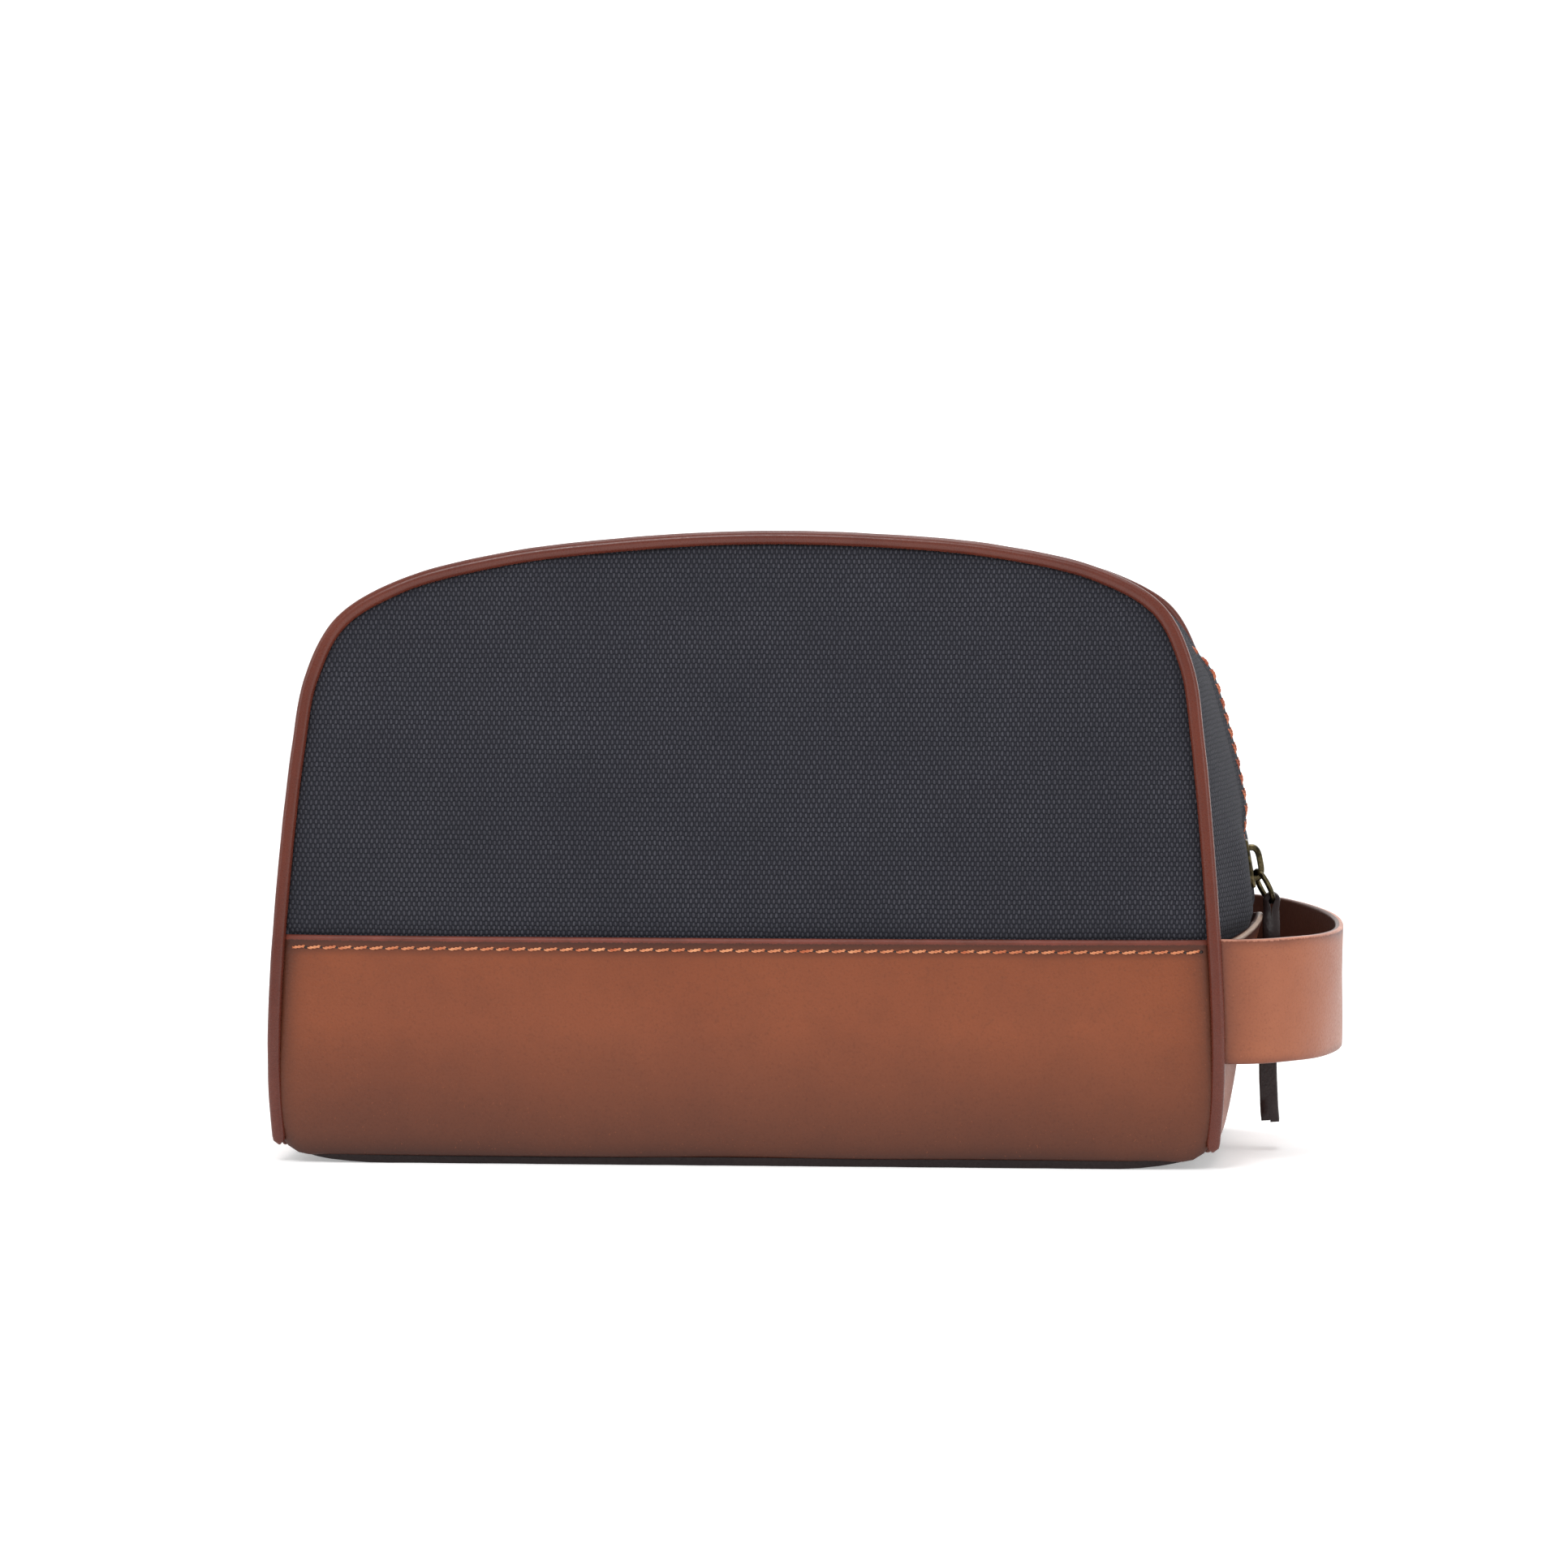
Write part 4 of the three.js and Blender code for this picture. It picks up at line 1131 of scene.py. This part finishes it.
RING_PIVOT = ZIP_PLACE - 2.4 * ZIP_UP + 0.78 * ZIP_AWAY
RING_DOWN = np.array((math.sin(RING_SLANT), 0, -math.cos(RING_SLANT)))
TAB_EYE = RING_PIVOT + RING_DOWN * (2 * RING_RADIUS - 0.35)


def ring():
    """A closed wire ring."""
    bpy.ops.object.select_all(action="DESELECT")
    bpy.ops.mesh.primitive_torus_add(
        major_radius=RING_RADIUS * MM, minor_radius=RING_WIRE * MM,
        major_segments=64, minor_segments=14)
    wire = bpy.context.object
    wire.name = "pull_ring"
    centre = RING_PIVOT + RING_DOWN * RING_RADIUS
    flat = np.cross(RING_DOWN, (0, 1, 0))
    wide = math.cos(RING_TWIST) * np.array((0, 1, 0)) + math.sin(RING_TWIST) * flat
    thin = np.cross(RING_DOWN, wide)
    axes = Matrix(np.stack((RING_DOWN, wide, thin), axis=1).tolist())
    wire.data.transform(Matrix.Translation(Vector(centre) * MM) @ axes.to_4x4())
    wire.data.materials.append(BRASS)
    smooth(wire, 180)
    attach(wire, "ring")
    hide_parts("zip_ring")


def pull_tab():
    """A strip folded over the ring, its two layers glued down to a square end."""
    eye = TAB_EYE
    half = 1.2
    gap = 0.03
    bottom = TAB_END_Z
    head = 1.55
    length_steps = 26

    def layer(which, foot, t):
        """Point of one layer's middle line: 1 is the outer layer and -1 the inner one."""
        lean = -0.9 * math.sin(math.pi * min(t * 1.3, 1))
        return (which * (half + gap) + lean - which * 0.1 * t, lerp(foot, eye[2] - 2.6, t))
    turns = [math.pi * i / 12 for i in range(13)]
    line = np.array(
        [layer(1, bottom, i / length_steps) for i in range(length_steps + 1)]
        + [(head * math.cos(turn), eye[2] + head * math.sin(turn)) for turn in turns]
        + [layer(-1, bottom + 0.35, 1 - i / length_steps) for i in range(length_steps + 1)])
    tangent = np.gradient(line, axis=0)
    tangent /= np.linalg.norm(tangent, axis=1, keepdims=True)
    out = np.stack((tangent[:, 1], -tangent[:, 0]), axis=1)
    rings = []
    for point, away in zip(line, out):
        wide = lerp(2.4, 5.5, smoothstep(eye[2] - point[1], 1.5, 9.0))
        skive = lerp(0.75, half, smoothstep(eye[2] - point[1], -1.0, 6.0))
        bend = 0.25 * noise.noise(Vector((point[1] / 7, 3.3, 0)))
        ring_points = []
        for a, b in ((skive, wide - 0.3), (skive - 0.3, wide), (-skive, wide),
                     (-skive, -wide), (skive - 0.3, -wide), (skive, -wide + 0.3)):
            ring_points.append((eye[0] + point[0] + away[0] * a + bend, b, point[1] + away[1] * a))
        rings.append(ring_points)
    tab = loft("pull_strip", rings, DARK, sharp=45)
    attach(tab, "tab")
    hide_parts("pull_tab")


# ------------------------------------------------------------------ handle
def handle():
    """The leather band, its ends sewn into the front and back seams."""
    start_x = 125.2

    def surface(u, v):
        angle = math.pi * u
        rise = HANDLE_BACK_RISE * smoothstep(u, 0.4, 1)
        droop = 0.8 * math.sin(angle) * (v - 0.5)
        x = lerp(start_x, HANDLE_NOSE_X, math.sin(angle) ** 0.93) + droop
        x += 0.5 * noise.noise(Vector((u * 7, v * 1.5, 2.0))) * math.sin(angle)
        z = HANDLE_LOW_Z + rise + HANDLE_WIDTH * v + 0.5 * noise.noise(Vector((u * 5, 0, 8.0)))
        return np.array((x, -(HANDLE_HALF_DEPTH + 1.2) * math.cos(angle), z))
    core = np.array((126.0, 0, HANDLE_LOW_Z + HANDLE_WIDTH / 2))
    band = sheet("handle_band", surface, shares(110, 130), shares(22, 32), HANDLE_THICKNESS, 0.55,
                 STRAP, core=core)
    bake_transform(band)
    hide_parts("handle")


# ------------------------------------------------------------------ studio
def white_sheet(name, finish_name, glow, place, rotation):
    """A large white sheet that gives off a little light of its own."""
    bpy.ops.object.select_all(action="DESELECT")
    bpy.ops.mesh.primitive_plane_add(size=12, location=place, rotation=rotation)
    backing = bpy.context.object
    backing.name = name
    white = Finish(finish_name)
    shade = white.mix(white.noise(3.0), (0.88, 0.88, 0.88, 1), (0.9, 0.9, 0.9, 1))
    white.set(Base_Color=shade, Roughness=0.95, Emission_Color=(1, 1, 1, 1), Emission_Strength=glow)
    backing.data.materials.append(white.material)
    return backing


def studio():
    ground = white_sheet("floor", "pale_floor", 0.34, (0, 0, 0), (0, 0, 0))
    wall = white_sheet("back_wall", "white_wall", 0.8, (0, 5.9, 5.9), (math.pi / 2, 0, 0))

    world = bpy.data.worlds.new("studio")
    bpy.context.scene.world = world
    world.use_nodes = True
    world.node_tree.nodes["Background"].inputs["Color"].default_value = (1, 1, 1, 1)
    world.node_tree.nodes["Background"].inputs["Strength"].default_value = 0.6

    def softbox(name, place, target, width, height, power):
        light = bpy.data.lights.new(name, "AREA")
        light.shape = "RECTANGLE"
        light.size = width
        light.size_y = height
        light.energy = power
        lamp = bpy.data.objects.new(name, light)
        bpy.context.collection.objects.link(lamp)
        lamp.location = place
        direction = Vector(target) - Vector(place)
        lamp.rotation_euler = direction.to_track_quat("-Z", "Y").to_euler()
    middle = (0, 0, 0.08)
    softbox("key_softbox", (-0.3, -1.4, 1.4), middle, 0.5, 0.4, 11)
    softbox("top_softbox", (0.1, 0.1, 1.5), middle, 1.0, 0.8, 10)
    softbox("right_softbox", (1.3, -0.5, 0.6), middle, 0.4, 1.0, 3.5)
    softbox("left_softbox", (-1.4, -0.3, 0.7), middle, 0.4, 1.0, 3.5)

    camera_data = bpy.data.cameras.new("camera")
    camera_data.sensor_width = 36
    camera_data.lens = 152.8
    camera = bpy.data.objects.new("camera", camera_data)
    bpy.context.collection.objects.link(camera)
    camera.location = (0.152, -1.805, 0.195)
    aim = Vector((0.0108, -0.055, 0.1015)) - camera.location
    camera.rotation_euler = aim.to_track_quat("-Z", "Y").to_euler()
    bpy.context.scene.camera = camera
    bpy.context.scene.view_settings.view_transform = "Standard"


studio()
for bag_side in (FRONT, BACK):
    canvas_panel(bag_side)
    leather_panel(bag_side)
    gusset_strip(bag_side)
    gusset_cloth(bag_side)
    zip_stitches(bag_side)
    zip_tape(bag_side)
    teeth(bag_side)
    piping(bag_side)
end_panel("left", False)
end_panel("right", True)
dark_sole()
base_board()
lower_lining()
slider()
ring()
pull_tab()
handle()
